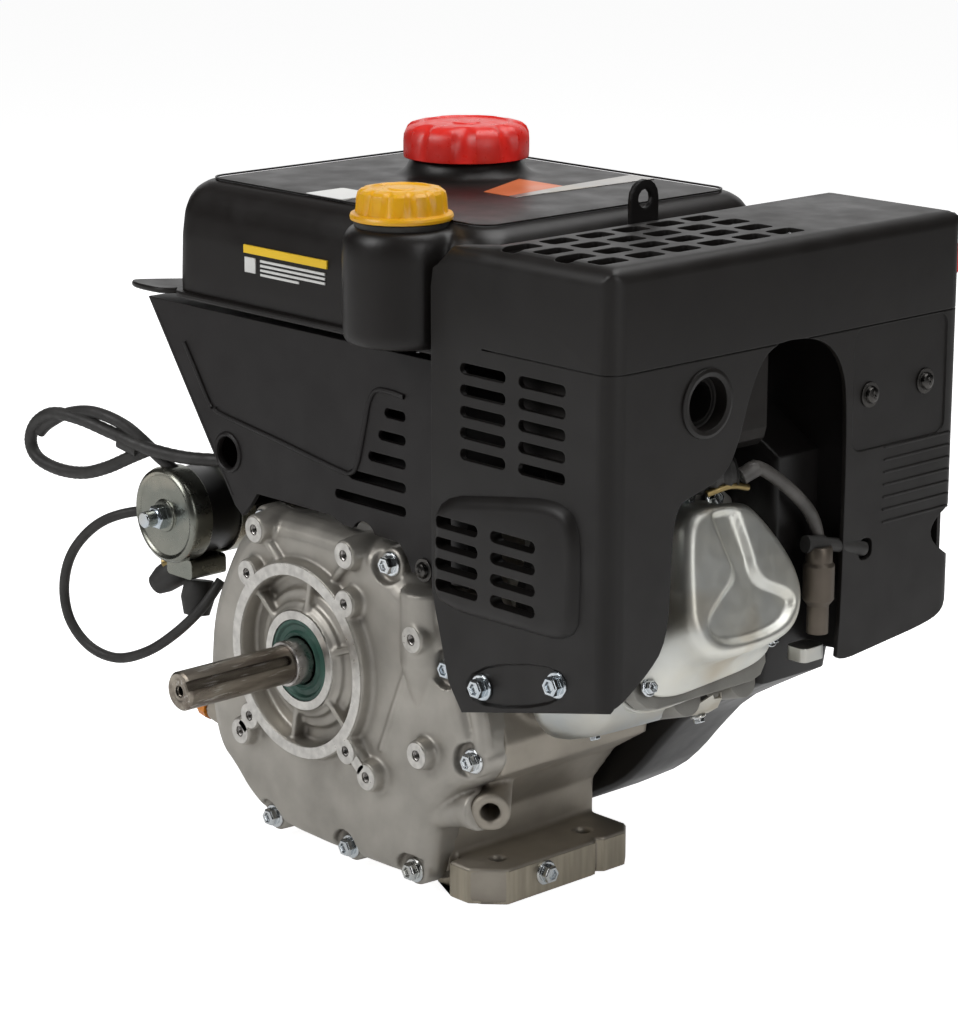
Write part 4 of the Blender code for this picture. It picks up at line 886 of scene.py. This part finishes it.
def fluted(place, levels, count, notch, segments=96):
    """Cap whose sides are cut by round finger grips; a level is (radius, w, grip depth)."""
    rings = []
    for radius, w, depth in levels:
        outline = []
        for i in range(segments):
            angle = 2 * math.pi * i / segments
            grip = max(0.0, (math.cos(count * angle) - notch) / (1 - notch)) ** 0.7
            reach = radius - depth * grip
            outline.append((reach * math.cos(angle), reach * math.sin(angle)))
        rings.append((outline, w))
    return loft(place, rings)


def make_caps():
    place = Frame((FILLER_X, FILLER_Y, 0), X, Y, Z)
    levels = [(39, 449, 0), (42.2, 449.6, 0.4), (42.6, 452, 1.8), (42.6, 460, 3.4), (42.2, 465, 4.6),
              (40.6, 468.6, 5.4), (38, 470.8, 5.6), (33, 472.2, 2.6), (29, 472.6, 0), (27.8, 471.6, 0),
              (10, 471.6, 0), (9, 472.4, 0), (4, 472.6, 0)]
    piece("red_fuel_cap", [fluted(place, levels, 8, 0.15)], RED, "fuel_filler_cap",
          angle=28, replaces=("fuel_cap",))
    collar = [(0, 444), (36.5, 444), (35.5, 446), (35.5, 450), (0, 450)]
    piece("filler_collar", [turned(TOP, collar, 64, FILLER_X, FILLER_Y)], TANK_BLACK)
    place = Frame((OIL_X, OIL_Y, 0), X, Y, Z)
    levels = [(28, 438.4, 0), (31.6, 438.8, 0), (32, 440.6, 0), (31.4, 442.2, 0), (28.6, 443, 0.4),
              (28.2, 446, 1.4), (27.8, 452, 2.0), (27.0, 455.2, 2.4), (25.0, 457, 2.6),
              (21.5, 457.8, 0.8), (19, 458, 0), (17.6, 457, 0), (9, 457, 0), (8, 457.8, 0), (4, 458, 0)]
    piece("yellow_oil_cap", [fluted(place, levels, 12, 0.3)], YELLOW,
          "oil_filler_cap", angle=28, replaces=("oil_fill_cap",))
    collar = [(0, 433), (28.5, 433), (29.5, 435), (29.5, 438), (27, 438.4), (0, 438.4)]
    piece("oil_collar", [turned(TOP, collar, 64, OIL_X, OIL_Y)], RUBBER)


# ---------------------------------------------------------------- shroud under the tank
def make_shroud():
    front = box_mm("shroud_panel")[0].y
    outline = [(-172, 353), (-82, 224), (-74, 218), (-66, 226), (-58, 236), (18, 236), (30, 232),
               (84, 231), (92, 222), (96, 214), (148, 214), (148, 353)]
    shroud = new_object("shroud_skin", [prism(FRONT, outline, front, 66)])
    inner = [(-166, 349.6), (-80, 226), (-70, 190), (144.6, 190), (144.6, 349.6)]
    cut(shroud, prism(FRONT, inner, front + 3.4, 86))
    slots = []
    for number, left in enumerate((71, 65, 55, 36, 22)):
        z = 313 - 15.3 * number
        slots.append(prism(FRONT, rounded(left, z - 3.2, 91, z + 3.2, 3.1, 4), front - 4, front + 8))
    cut(shroud, cylinder(FRONT, -88, 259, 10.8, front - 4, front + 8, 40), *slots)
    cut(shroud, cylinder(TOP, OIL_X, -53, 14, 340, 360, 24))
    cut(shroud, prism(FRONT, rectangle(86, 180, 160, 268), front + 16, 90))
    cut(shroud, cylinder(FRONT, -52, 222, 13, front - 5, front + 8),
        cylinder(FRONT, 50, 226, 12, front - 5, front + 8))
    dress(shroud, SHROUD_BLACK, replaces=("shroud_panel",))
    y = front - 0.1
    edges = [tube([(-133, y, 327), (-121, y, 310), (-108, y, 291), (-104, y, 287)], 1.7, 10),
             tube([(-101, y, 287), (-94, y, 284), (-40, y, 277), (24, y, 268), (38, y, 268), (45, y, 276),
                   (52, y, 300), (57, y, 318), (64, y, 326), (78, y, 327), (90, y, 326)], 1.7, 10),
             tube([(-164, y + 0.8, 344), (-84, y + 0.8, 230)], 1.2, 10)]
    rim = [(10.9, front + 2), (10.9, front - 1), (12.2, front - 1.9), (13.8, front - 0.9),
           (14.4, front + 1)]
    edges.append(turned(FRONT, rim, 40, -88, 259))
    piece("shroud_pressings", edges, SHROUD_BLACK)
    # Painted shade: a black sheet just behind the cooling slots, so that they look black inside.
    slot_shade_sheet = [(6, 236), (84, 236), (100, 262), (100, 326), (40, 326)]
    piece("shroud_slot_shade", [prism(FRONT, slot_shade_sheet, front + 12, front + 14)], HOUSING_BLACK)


def make_blower_housing():
    """Scroll about the flywheel with a rolled front edge, open where the air leaves it."""
    outline = softened(arc(0, 137, 132, 150, 260, 12) + [(70, 14), (84, 18), (102, 28), (130, 44),
                       (148, 61), (163, 79), (188, 106), (222, 126), (262, 148), (262, 340),
                       (-70, 340)], 1)
    middle = (60, 180)
    levels = [(0.045, 78), (0.02, 79), (0.004, 82), (0, 86), (0, 137), (0.004, 139.6), (0.016, 142)]
    rings = [(drawn_in(outline, share, middle) if share else outline, y) for share, y in levels]
    housing = new_object("blower_shell", [loft(FRONT, rings)])
    cut(housing, prism(FRONT, drawn_in(outline, 0.03, middle), 81, 139))
    cut(housing, cylinder(CRANK, 0, 0, 60, 70, 90, 48), cylinder(CRANK, 0, 0, 74, 130, 150, 48))
    cut(housing, prism(CYLINDER, rectangle(-60, -70, 70, 100), 70, 232))
    cut(housing, cylinder(FRONT, STARTER.x + 28, STARTER.z - 12, 26, 70, 100, 32))
    dress(housing, HOUSING_BLACK, replaces=("blower_housing",))
    bulge = rounded(178, 150, 205, 183, 6)
    piece("bowl_bulge", [loft(FRONT, [(bulge, 141), (bulge, 142.6),
                                      (drawn_in(bulge, 0.10, (191, 166)), 144.4)])],
          HOUSING_BLACK)


def make_hood_insides():
    """Dark wall that keeps the cooling air from the carburettor, the fuel filter and a clip."""
    wall = [(178, 196), (224, 176), (262, 164), (283, 166), (283, 424), (178, 424)]
    piece("inner_baffle", [prism(FRONT, wall, 117.2, 119.6)], HOUSING_BLACK)
    neck = pointing((281, 99, 236), (0, 0, -1))
    body = [(0, 0), (7.5, 0), (8.5, 2), (8.5, 10), (10, 12), (10, 34), (7, 38), (7, 56), (0, 58)]
    piece("fuel_filter", [turned(neck, body, 32)], FILTER_BROWN)
    piece("bowl_clip", [prism(TOP, rounded(268, 84, 284, 104, 4, 4), 163, 172)], ZINC)


# ---------------------------------------------------------------- cylinder head side
def convex_distance(point, corners):
    """How far a point lies outside a convex outline given anticlockwise; negative is inside."""
    here = Vector(point)
    distance = -1e9
    for a, b in zip(corners, corners[1:] + corners[:1]):
        edge = (Vector(b) - Vector(a)).normalized()
        outward = Vector((edge.y, -edge.x))
        distance = max(distance, outward.dot(here - Vector(a)))
    return distance


def soft_step(value, low, high):
    """0 below low, 1 above high, smooth in between."""
    t = min(1.0, max(0.0, (value - low) / (high - low)))
    return t * t * (3 - 2 * t)


def soft_min(a, b, width):
    """Smaller of two distances, rounded off where they meet."""
    share = min(1.0, max(0.0, 0.5 + 0.5 * (b - a) / width))
    return b + (a - b) * share - width * share * (1 - share)


# Hollow in the crown and outlines of the valve cover, as (u, v) about the cylinder.
POCKET = [(-30, -21), (-20, -36), (30, -36), (49, -23), (45, -15), (25, -6), (6, 3), (-12, -7)]
CHANNEL = [(4, -2), (21, -4), (13, 57), (-8, 60)]
COVER_CROWN = [(-24, 46), (-5, 49), (26, 47), (38, 38), (56, 11), (62, -7), (61, -22), (52, -36),
               (37, -43), (6, -46), (-23, -45), (-36, -38), (-44, -21), (-40, -1), (-32, 30)]
COVER_BASE = [(-33, 50), (-6, 54), (32, 51), (48, 42), (65, 14), (70, -8), (70, -28), (63, -48),
              (46, -57), (4, -60), (-34, -62), (-52, -54), (-56, -30), (-50, -2), (-42, 34)]


CROWN_TOP, HOLLOW_DEPTH = 297.5, 4.6  # heights along the cylinder


def crown_height(point, share, pocket, channel):
    """Height of the crown at a point; share runs from 0 in its middle to 1 at its rolled rim."""
    inside = -soft_min(convex_distance(point, pocket), convex_distance(point, channel), 14)
    depth = HOLLOW_DEPTH * soft_step(inside, -3.0, 3.0)
    fade = 1.0 - soft_step(share, 0.86, 0.95)
    dome = 1.6 * share ** 2 + 5.0 * max(0.0, (share - 0.86) / 0.14) ** 2.4
    return CROWN_TOP - dome - depth * fade


def make_valve_cover():
    """Pressed cover: Y-shaped hollow in its crown, soft flanks down to a stepped flange.

    The loops run from the middle of the crown out and down to the flange, then back up inside.
    """
    centre = Vector((6.0, -6.0))
    crown = inset(softened(COVER_CROWN, 3), 1)
    base = softened(COVER_BASE, 3)
    pocket, channel = softened(POCKET, 2), softened(CHANNEL, 1)
    bm = bmesh.new()
    loops = []
    for share in [0.04 + 0.96 * i / 36 for i in range(37)]:
        loop = []
        for point in crown:
            u, v = centre.lerp(Vector(point), share)
            height = crown_height((u, v), share, pocket, channel)
            loop.append(bm.verts.new(CYLINDER.at(u, v, height)))
        loops.append(loop)
    flank = [(0.03, 286.5), (0.09, 280), (0.20, 273), (0.38, 267), (0.61, 262), (0.82, 258.5),
             (0.93, 256.8), (1.0, 256), (1.03, 255), (1.03, 253), (0.97, 252.4), (0.97, 250.4),
             (1.08, 250), (1.08, 247.6), (1.0, 247), (1.0, 244.8), (1.12, 244.2), (1.14, 242),
             (1.02, 241)]
    hollow = [(0.88, 241), (0.88, 255.6), (0.79, 257.6), (0.67, 260), (0.36, 265), (0.11, 272),
              (-0.1, 281), (-0.25, 288)]
    for share, w in flank + hollow:
        loop = []
        for inner, outer in zip(crown, base):
            u, v = Vector(inner) + (Vector(outer) - Vector(inner)) * share
            loop.append(bm.verts.new(CYLINDER.at(u, v, w)))
        loops.append(loop)
    # Painted highlight: the cover takes the zinc whose tone is painted lighter, to lift its shaded crown.
    piece("valve_cover_pressing", [bridge(bm, loops)], PRESSED_ZINC_PAINTED_BRIGHT, angle=60,
          replaces=("valve_cover",))


def sheet_along(name, path, steps, thickness, material):
    """Bent sheet: a path in (u, v) swept through steps of (outward, w) about the cylinder."""
    bm = bmesh.new()
    rows = []
    for outward, w in steps:
        row = []
        for index, (u, v) in enumerate(path):
            before = Vector(path[max(index - 1, 0)])
            after = Vector(path[min(index + 1, len(path) - 1)])
            along = (after - before).normalized()
            row.append(bm.verts.new(CYLINDER.at(u + along.y * outward, v - along.x * outward, w)))
        rows.append(row)
    for low, high in zip(rows, rows[1:]):
        for i in range(len(low) - 1):
            bm.faces.new((low[i], low[i + 1], high[i + 1], high[i]))
    sheet = new_object(name, [bm])
    thick = sheet.modifiers.new("thickness", "SOLIDIFY")
    thick.thickness = thickness * MM
    thick.offset = 0
    bake(sheet)
    return dress(sheet, material, angle=50)


def make_head_plates():
    """Plated heat guard round the lower front of the head, its bolts, and the head's lower lugs."""
    base = softened(COVER_BASE, 3)
    steps = [(-0.06, 221), (-0.13, 222), (-0.13, 226.5), (-0.105, 228.5), (-0.105, 232), (-0.15, 235),
             (-0.15, 240.4), (-0.10, 241)]
    plate = [(drawn_in(base, share, (6, -6)), w) for share, w in steps]
    # Painted highlight: the plate takes the zinc whose tone is painted lighter, to offset the shade under
    # the cover.
    piece("head_plate", [loft(CYLINDER, plate)], PRESSED_ZINC_PAINTED_BRIGHT)
    guard = [(-84, 30), (-85, -20)] + arc(-62, -52, 24, 180, 270, 12) + [(-40, -77), (6, -78)]
    sheet_along("heat_guard", guard, [(-7, 184), (-1, 189), (0, 196), (0, 214), (-2, 222), (-8, 232),
                                      (-18, 240)], 1.6, ZINC)
    tip = [(8, -74), (12, -80), (24, -81), (29, -75)]
    sheet_along("guard_tip", tip, [(0, 216), (0, 226), (-3, 236), (-9, 243)], 1.6, ZINC)
    lugs = [turned(CYLINDER, [(0, 206), (11, 206), (12.5, 209), (12.5, 240), (0, 240)], 32, -5, -66),
            turned(CYLINDER, [(0, 214), (10, 214), (11.5, 217), (11.5, 240), (0, 240)], 32, 46, -66)]
    piece("head_lugs", lugs, HEAD_METAL)
    bolts("guard_bolts", [CYLINDER.at(-56, -75, 206), CYLINDER.at(19, -82, 222)], -ACROSS, size=0.62)
    tops = [CYLINDER.at(-32, 52, 257), CYLINDER.at(13, 55, 257), CYLINDER.at(37, 50, 257)]
    bolts("cover_top_bolts", tops, ALONG, size=0.8)
    bolts("cover_base_bolts", [CYLINDER.at(-50, -52, 256), CYLINDER.at(62, -44, 256)], ALONG, size=0.7)


def make_ignition_and_hoses():
    """Plug lead, boot and clip, the crankcase breather and the fuel hose."""
    low, high = box_mm("spark_plug_cap")
    cap = (low + high) / 2
    lead = [cap + Vector((2, -6, 8)), cap + Vector((12, 4, 22)), cap + Vector((22, 30, 26)),
            cap + Vector((16, 62, 14)), cap + Vector((-20, 92, -10))]
    piece("ignition_lead", [tube(lead, 3.5)], RUBBER)
    clip = [(262, 16, 280), (268, 30, 284), (270, 44, 281)]
    piece("plug_boot", [tube([(246, 8, 284), (258, 22, 290), (266, 36, 292)], 9, 20,
                             swell=lambda i: 1.0 + 0.12 * math.sin(1.6 * i))], RUBBER)
    piece("plug_clip", [tube(clip, 2.2, 12)], BRASS)
    breather = [(268, 40, 288), (272, 50, 293), (274, 76, 276), (275, 96, 257), (275, 104, 240),
                (272, 106, 232)]
    piece("breather_tube", [tube(breather, 4.2, 18), tube(breather[:2], 5.4, 18)], HOSE_GREY,
          replaces=("breather_hose",))
    hose = [(277, 90, 238), (280, 104, 236), (285, 120, 233), (287, 134, 229)]
    piece("fuel_hose", [tube(hose, 4.6, 16), tube(hose[:2], 5.6, 16, 3)], RUBBER)


# ---------------------------------------------------------------- starter and wiring
def make_starter():
    place = Frame((STARTER.x, 0, STARTER.z), X, Z, Y)
    rim = [(0, -72.6), (31, -72.6), (31, -64), (33.4, -64), (33.6, -77), (32.6, -79.8), (30.4, -81.2),
           (28.6, -80.6), (27.8, -79.6), (0, -79.6)]
    boss = [(0, -79), (11.5, -79), (11, -81.2), (9, -81.8), (0, -81.8)]
    nut = [(circle(0, 0, 8.6, 6), -81.4), (circle(0, 0, 8.6, 6), -88), (circle(0, 0, 7.6, 6), -89),
           (circle(0, 0, 6.2, 6), -89.2)]
    stud = [(0, -88), (5.6, -88), (5.6, -97.4), (5.0, -98.2), (0, -98.2)]
    piece("starter_cap_pressing", [turned(place, rim, 64), turned(place, boss, 40)], STARTER_ZINC,
          angle=40, replaces=("starter_end_cap",))
    piece("starter_nut", [loft(place, nut), turned(place, stud, 32)], BOLT_ZINC, angle=25)
    body = [(0, -72.4), (30.6, -72.4), (31.2, -71), (31.2, -62), (30.6, -61), (30.6, 34), (31.2, 36),
            (31.2, 42), (29, 44), (0, 44)]
    piece("starter_can", [turned(place, body, 64)], HOUSING_BLACK,
          replaces=("starter_motor",))
    clamp = [(30.8, -38), (33, -38), (33, -26), (30.8, -26)]
    piece("starter_clamp", [turned(place, clamp, 64)], STARTER_ZINC)


def make_starter_terminals():
    """Terminal stud, the bracket below the starter and the two rubber boots on the leads."""
    x, z = STARTER.x, STARTER.z
    terminal = pointing((x - 20, -63, z - 40), (-0.8, -0.5, -0.35))
    piece("terminal_copper", [turned(terminal, [(0, -6), (4, -6), (4.4, 3), (3, 4), (0, 4)], 24)],
          BRASS)
    bracket = prism(FRONT, rounded(x - 12, z - 45, x + 16, z - 31, 3, 3), -70, -40)
    piece("starter_bracket", [bracket], STARTER_ZINC)
    boot = pointing((x - 24, -60, z - 52), (-0.7, -0.3, -0.55))
    shapes = [turned(boot, [(0, -14), (9, -14), (11, -8), (10, 4), (7.5, 12), (0, 13)], 32)]
    boot = pointing((x + 4, -56, z - 62), (0.1, -0.2, -1))
    shapes.append(turned(boot, [(0, -12), (10, -12), (12, 0), (9, 12), (0, 14)], 32))
    piece("terminal_boots", shapes, RUBBER)


def make_wiring():
    low = [(-176, -62, 196), (-196, -74, 197), (-222, -86, 186), (-243, -94, 164), (-252, -97, 138),
           (-250, -95, 112), (-234, -90, 94), (-208, -85, 90), (-180, -79, 100), (-155, -72, 118),
           (-138, -62, 138), (-132, -50, 156)]
    piece("starter_lead", [tube(low, 3.6, 14, 10)], RUBBER, replaces=("starter_cable",))
    loop = [(-110, -62, 247), (-138, -74, 246), (-166, -84, 249), (-196, -92, 256), (-226, -98, 262),
            (-252, -102, 262), (-270, -104, 252), (-277, -104, 238), (-270, -103, 227), (-250, -100, 222),
            (-226, -96, 223), (-204, -92, 230), (-184, -86, 240), (-168, -80, 248)]
    sleeve = tube(loop, 4.4, 14, 10, lambda i: 1.0 + 0.05 * (i % 2))
    back = [(-168, -80, 248), (-186, -88, 262), (-212, -94, 268), (-238, -98, 264), (-258, -101, 254),
            (-268, -102, 246)]
    drop = [(-170, -82, 250), (-160, -76, 240), (-150, -64, 228), (-142, -50, 222)]
    piece("harness_sleeve", [sleeve, tube(back, 4.2, 14, 10), tube(drop, 4.0, 14, 8)], RUBBER,
          replaces=("harness_cable",))
    tape = tube([(-176, -84, 247), (-190, -89, 252)], 6.4, 16, 4)
    piece("harness_tape", [tape], RUBBER)


# ---------------------------------------------------------------- back of the engine
HANDLE_REACH = 84                    # from the pulley's rim along the rope to the handle
PULL = Vector(JOINTS["rope_pull"]["axis"])
ROPE = Frame(joint_place("rope_pull") - PULL * HANDLE_REACH, Y.cross(PULL), Y, PULL)


def make_recoil_cover():
    """Round cover of the rewind starter with its air slots, lugs and rope eyelet."""
    profile = [(87.9, 142.4), (88, 145), (86.6, 148), (85.4, 152), (84, 162), (82, 167), (78, 170.4),
               (72, 172.4), (64, 173.4), (30, 175.6), (26, 175.8), (24, 174.6), (20, 174), (0, 174),
               (0, 171), (60, 170), (76, 166), (81, 160), (82, 142.4)]
    cover = new_object("recoil_cover", [turned(CRANK, profile, 96)])
    slots = []
    for number in range(8):
        slot = turned_by(rounded(34, -4, 66, 4, 3.9), 15 + 45 * number)
        slots.append(prism(CRANK, slot, 160, 180))
    cut(cover, *slots)
    cut(cover, cylinder(ROPE, 0, 0, 6, 40, 110, 24))
    dress(cover, HOOD_BLACK, replaces=("recoil_housing",))
    eyelet = [(4, 61), (8.6, 61), (9, 63), (9, 69), (7.6, 71), (5, 71), (4, 69)]
    piece("rope_eyelet", [turned(ROPE, eyelet, 32)], HOUSING_BLACK)
    spots = [(94 * math.cos(math.radians(a)), 94 * math.sin(math.radians(a))) for a in (35, 195, 275)]
    lugs = [turned(CRANK, [(0, 142), (10, 142), (10, 144), (8.6, 145.6), (0, 145.6)], 32, u, v)
            for u, v in spots]
    piece("recoil_lugs", lugs, HOOD_BLACK)
    bolts("recoil_bolts", [CRANK.at(u, v, 145.6) for u, v in spots], Y, size=0.75)


def make_rope_and_handle():
    """Starter rope, which stretches out behind its handle, and the T-shaped grip."""
    line = [ROPE.at(0, 0, 8.7 * i) for i in range(11)]
    rope = new_object("starter_rope", [tube(line, 2.3, 12, 2)])
    rope.data.shade_smooth()
    rope.data.materials.append(HOSE_GREY)
    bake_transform(rope)
    bar = rounded(-38, -8, 38, 8, 7.5)
    edge = [(0.10, -6), (0.04, -5.2), (0.01, -3.6), (0, -1.5), (0, 2.5), (0.02, 5), (0.06, 6.4), (0.12, 7)]
    across = Frame(ROPE.at(0, 0, HANDLE_REACH + 18), ROPE.axes[0], Y, PULL)
    neck = [(0, 0), (6.4, 0), (7, 0.8), (8.6, 5), (8, 8), (7, 11), (8, 14), (0, 14)]
    shapes = [loft(across, [(drawn_in(bar, share, (0, 0)), w) for share, w in edge]),
              turned(Frame(ROPE.at(0, 0, HANDLE_REACH), ROPE.axes[0], Y, PULL), neck, 32)]
    piece("rope_grip", shapes, HOOD_BLACK, "rope_handle", replaces=("recoil_handle",))


def make_controls():
    """Primer bulb, choke knob and stop key on the end wall of the hood."""
    wall = HOOD_HIGH.y
    primer, choke = joint_place("primer_press"), joint_place("choke_turn")
    place = Frame((primer.x, wall, primer.z), X, Z, Y)
    dome = [(0, 0.4), (15.8, 0.4), (16, 1.6), (15.4, 3), (13.4, 3.6), (13, 6), (12, 9.5), (9.6, 12.6),
            (6, 14.4), (2.6, 15), (0, 15)]
    piece("primer_dome", [turned(place, dome, 48)], RUBBER, "primer",
          replaces=("primer_bulb",))
    place = Frame((choke.x, wall, choke.z), X, Z, Y)
    levels = [(19.4, 0.4, 0), (20, 1, 0), (20, 3.4, 0), (17.4, 4.6, 0.6), (17, 7, 1.6), (16.6, 13, 2),
              (15.2, 15.4, 1.6), (13, 16, 0.4), (6, 16, 0)]
    piece("choke_dial", [fluted(place, levels, 10, 0.3)], HOOD_BLACK, "choke",
          replaces=("choke_knob",))
    bezels = [turned(Frame((at.x, wall, at.z), X, Z, Y),
                     [(radius, -1), (radius + 3, -1), (radius + 3, 1), (radius + 1.6, 2.2), (radius, 2.2)])
              for at, radius in ((primer, 16.6), (choke, 20.6))]
    piece("control_bezels", bezels, HOUSING_BLACK)
    low, high = box_mm("stop_key")
    bow = rounded(low.y + 7, low.z, high.y, high.z, 6)
    stem = rounded(low.y, low.z + 7, low.y + 12, high.z - 7, 1)
    shapes = []
    for outline in (bow, stem):
        centre = (sum(y for y, z in outline) / len(outline), sum(z for y, z in outline) / len(outline))
        shapes.append(loft(SIDE, [(drawn_in(outline, share, centre), x) for share, x in
                                  ((0.10, low.x), (0, low.x + 1), (0, high.x - 1), (0.10, high.x))]))
    piece("stop_key_bow", shapes, RED, "key", replaces=("stop_key",))


# ---------------------------------------------------------------- CAD nodes that keep their shape
KEPT = {
    FOOT_METAL: ("crankcase",),
    HEAD_METAL: ("cylinder_head", "carburettor", "starter_gearbox", "piston", "connecting_rod",
                 "rod_cap"),
    CAST_IRON: ("cylinder_liner", "camshaft", "flywheel"),
    SHAFT: ("crankshaft_front",),
    STEEL: ("crankshaft_rear", "front_main_bearing", "rear_main_bearing", "crank_gear", "piston_pin",
            "crankpin", "intake_valve", "exhaust_valve", "intake_pushrod", "exhaust_pushrod",
            "intake_tappet", "exhaust_tappet", "intake_rocker", "exhaust_rocker", "ring_gear",
            "starter_pinion"),
    DARK_STEEL: ("muffler", "exhaust_pipe"),
    ZINC: ("float_bowl", "throttle_lever", "starter_cup"),
    HOUSING_BLACK: ("lifting_eye",),
    HOOD_BLACK: ("recoil_pulley", "cooling_fan", "intake_box", "oil_fill_tube", "ignition_coil"),
    RUBBER: ("spark_plug_cap",),
    ORANGE: ("oil_plug",),
    CERAMIC: ("spark_plug",),
}


def soften_crankcase():
    """Give the case from the CAD the fillets of a casting."""
    case = frame["nodes"]["crankcase"]
    skin = case.modifiers.new("skin", "REMESH")
    skin.mode = "VOXEL"
    skin.voxel_size = 1.7 * MM
    skin.use_smooth_shade = True
    soften = case.modifiers.new("soften", "SMOOTH")
    soften.factor = 0.5
    soften.iterations = 4


def paint_kept_nodes():
    for material, names in KEPT.items():
        for name in names:
            mesh = frame["nodes"][name].data
            mesh.materials.clear()
            mesh.materials.append(material)


# ---------------------------------------------------------------- studio
def make_floor():
    """Pale floor that glows towards the camera, so that it stays white far away."""
    half, z = 6.0, -0.0005
    mesh = bpy.data.meshes.new("floor")
    mesh.from_pydata([(x, y, z) for x, y in rectangle(-half, -half, half, half)], [], [(0, 1, 2, 3)])
    floor = bpy.data.objects.new("floor", mesh)
    bpy.context.scene.collection.objects.link(floor)
    material = bpy.data.materials.new("floor_pale")
    material.use_nodes = True
    shader = material.node_tree.nodes["Principled BSDF"]
    shader.inputs["Base Color"].default_value = (0.80, 0.80, 0.80, 1)
    shader.inputs["Roughness"].default_value = 0.9
    shader.inputs["Specular IOR Level"].default_value = 0.1
    shader.inputs["Emission Color"].default_value = (1, 1, 1, 1)
    tree = material.node_tree
    seen = tree.nodes.new("ShaderNodeLightPath")
    glow = tree.nodes.new("ShaderNodeMapRange")
    glow.inputs["To Min"].default_value = 0.20
    glow.inputs["To Max"].default_value = 0.93
    tree.links.new(seen.outputs["Is Camera Ray"], glow.inputs["Value"])
    tree.links.new(glow.outputs["Result"], shader.inputs["Emission Strength"])
    mesh.materials.append(material)


def make_sky():
    """Pale studio all round: white to the camera, brighter overhead than at the horizon."""
    world = bpy.data.worlds.new("studio")
    world.use_nodes = True
    tree = world.node_tree
    background = tree.nodes["Background"]
    direction = tree.nodes.new("ShaderNodeTexCoord")
    split = tree.nodes.new("ShaderNodeSeparateXYZ")
    height = tree.nodes.new("ShaderNodeMapRange")
    for key, value in (("From Min", 0.0), ("From Max", 0.9), ("To Min", 0.25), ("To Max", 0.8)):
        height.inputs[key].default_value = value
    seen = tree.nodes.new("ShaderNodeLightPath")
    choose = tree.nodes.new("ShaderNodeMix")
    choose.inputs["B"].default_value = 1.0
    tree.links.new(direction.outputs["Generated"], split.inputs["Vector"])
    tree.links.new(split.outputs["Z"], height.inputs["Value"])
    tree.links.new(seen.outputs["Is Camera Ray"], choose.inputs["Factor"])
    tree.links.new(height.outputs["Result"], choose.inputs["A"])
    tree.links.new(choose.outputs["Result"], background.inputs["Strength"])
    bpy.context.scene.world = world


def add_light(name, place, target, size, power):
    data = bpy.data.lights.new(name, "AREA")
    data.shape = "RECTANGLE"
    data.size, data.size_y = size
    data.energy = power
    light = bpy.data.objects.new(name, data)
    light.location = place
    direction = Vector(target) - Vector(place)
    light.rotation_euler = direction.to_track_quat("-Z", "Y").to_euler()
    bpy.context.scene.collection.objects.link(light)


def make_lights():
    middle = (0.05, 0.0, 0.22)
    add_light("key", (-0.6, -1.8, 1.6), middle, (1.2, 1.2), 24)
    add_light("fill", (2.0, -0.2, 1.0), middle, (0.8, 1.2), 8)
    add_light("top", (0.3, 0.5, 1.9), middle, (1.6, 1.2), 22)
    add_light("back", (-1.7, 1.75, 1.05), middle, (3.4, 1.4), 13)


def make_camera():
    """Camera at the viewing angle of the photograph; tilt is measured down from level."""
    tilt, turn = 14.69, 47.32
    data = bpy.data.cameras.new("camera")
    data.lens = 112.0
    data.sensor_width = 36.0
    camera = bpy.data.objects.new("camera", data)
    camera.location = (1.5424, -1.3522, 0.7588)
    camera.rotation_euler = (math.radians(90 - tilt), 0, math.radians(turn))
    bpy.context.scene.collection.objects.link(camera)
    bpy.context.scene.camera = camera
    bpy.context.scene.view_settings.view_transform = "Standard"


make_side_cover()
make_machined_faces()
make_cover_bolts()
make_seal_and_shaft()
make_hood()
make_hood_fixings()
make_tank()
make_labels()
make_caps()
make_shroud()
make_blower_housing()
make_hood_insides()
make_valve_cover()
make_head_plates()
make_ignition_and_hoses()
make_starter()
make_starter_terminals()
make_wiring()
make_milled_foot()
make_recoil_cover()
make_rope_and_handle()
make_controls()
soften_crankcase()
paint_kept_nodes()
make_floor()
make_sky()
make_lights()
make_camera()
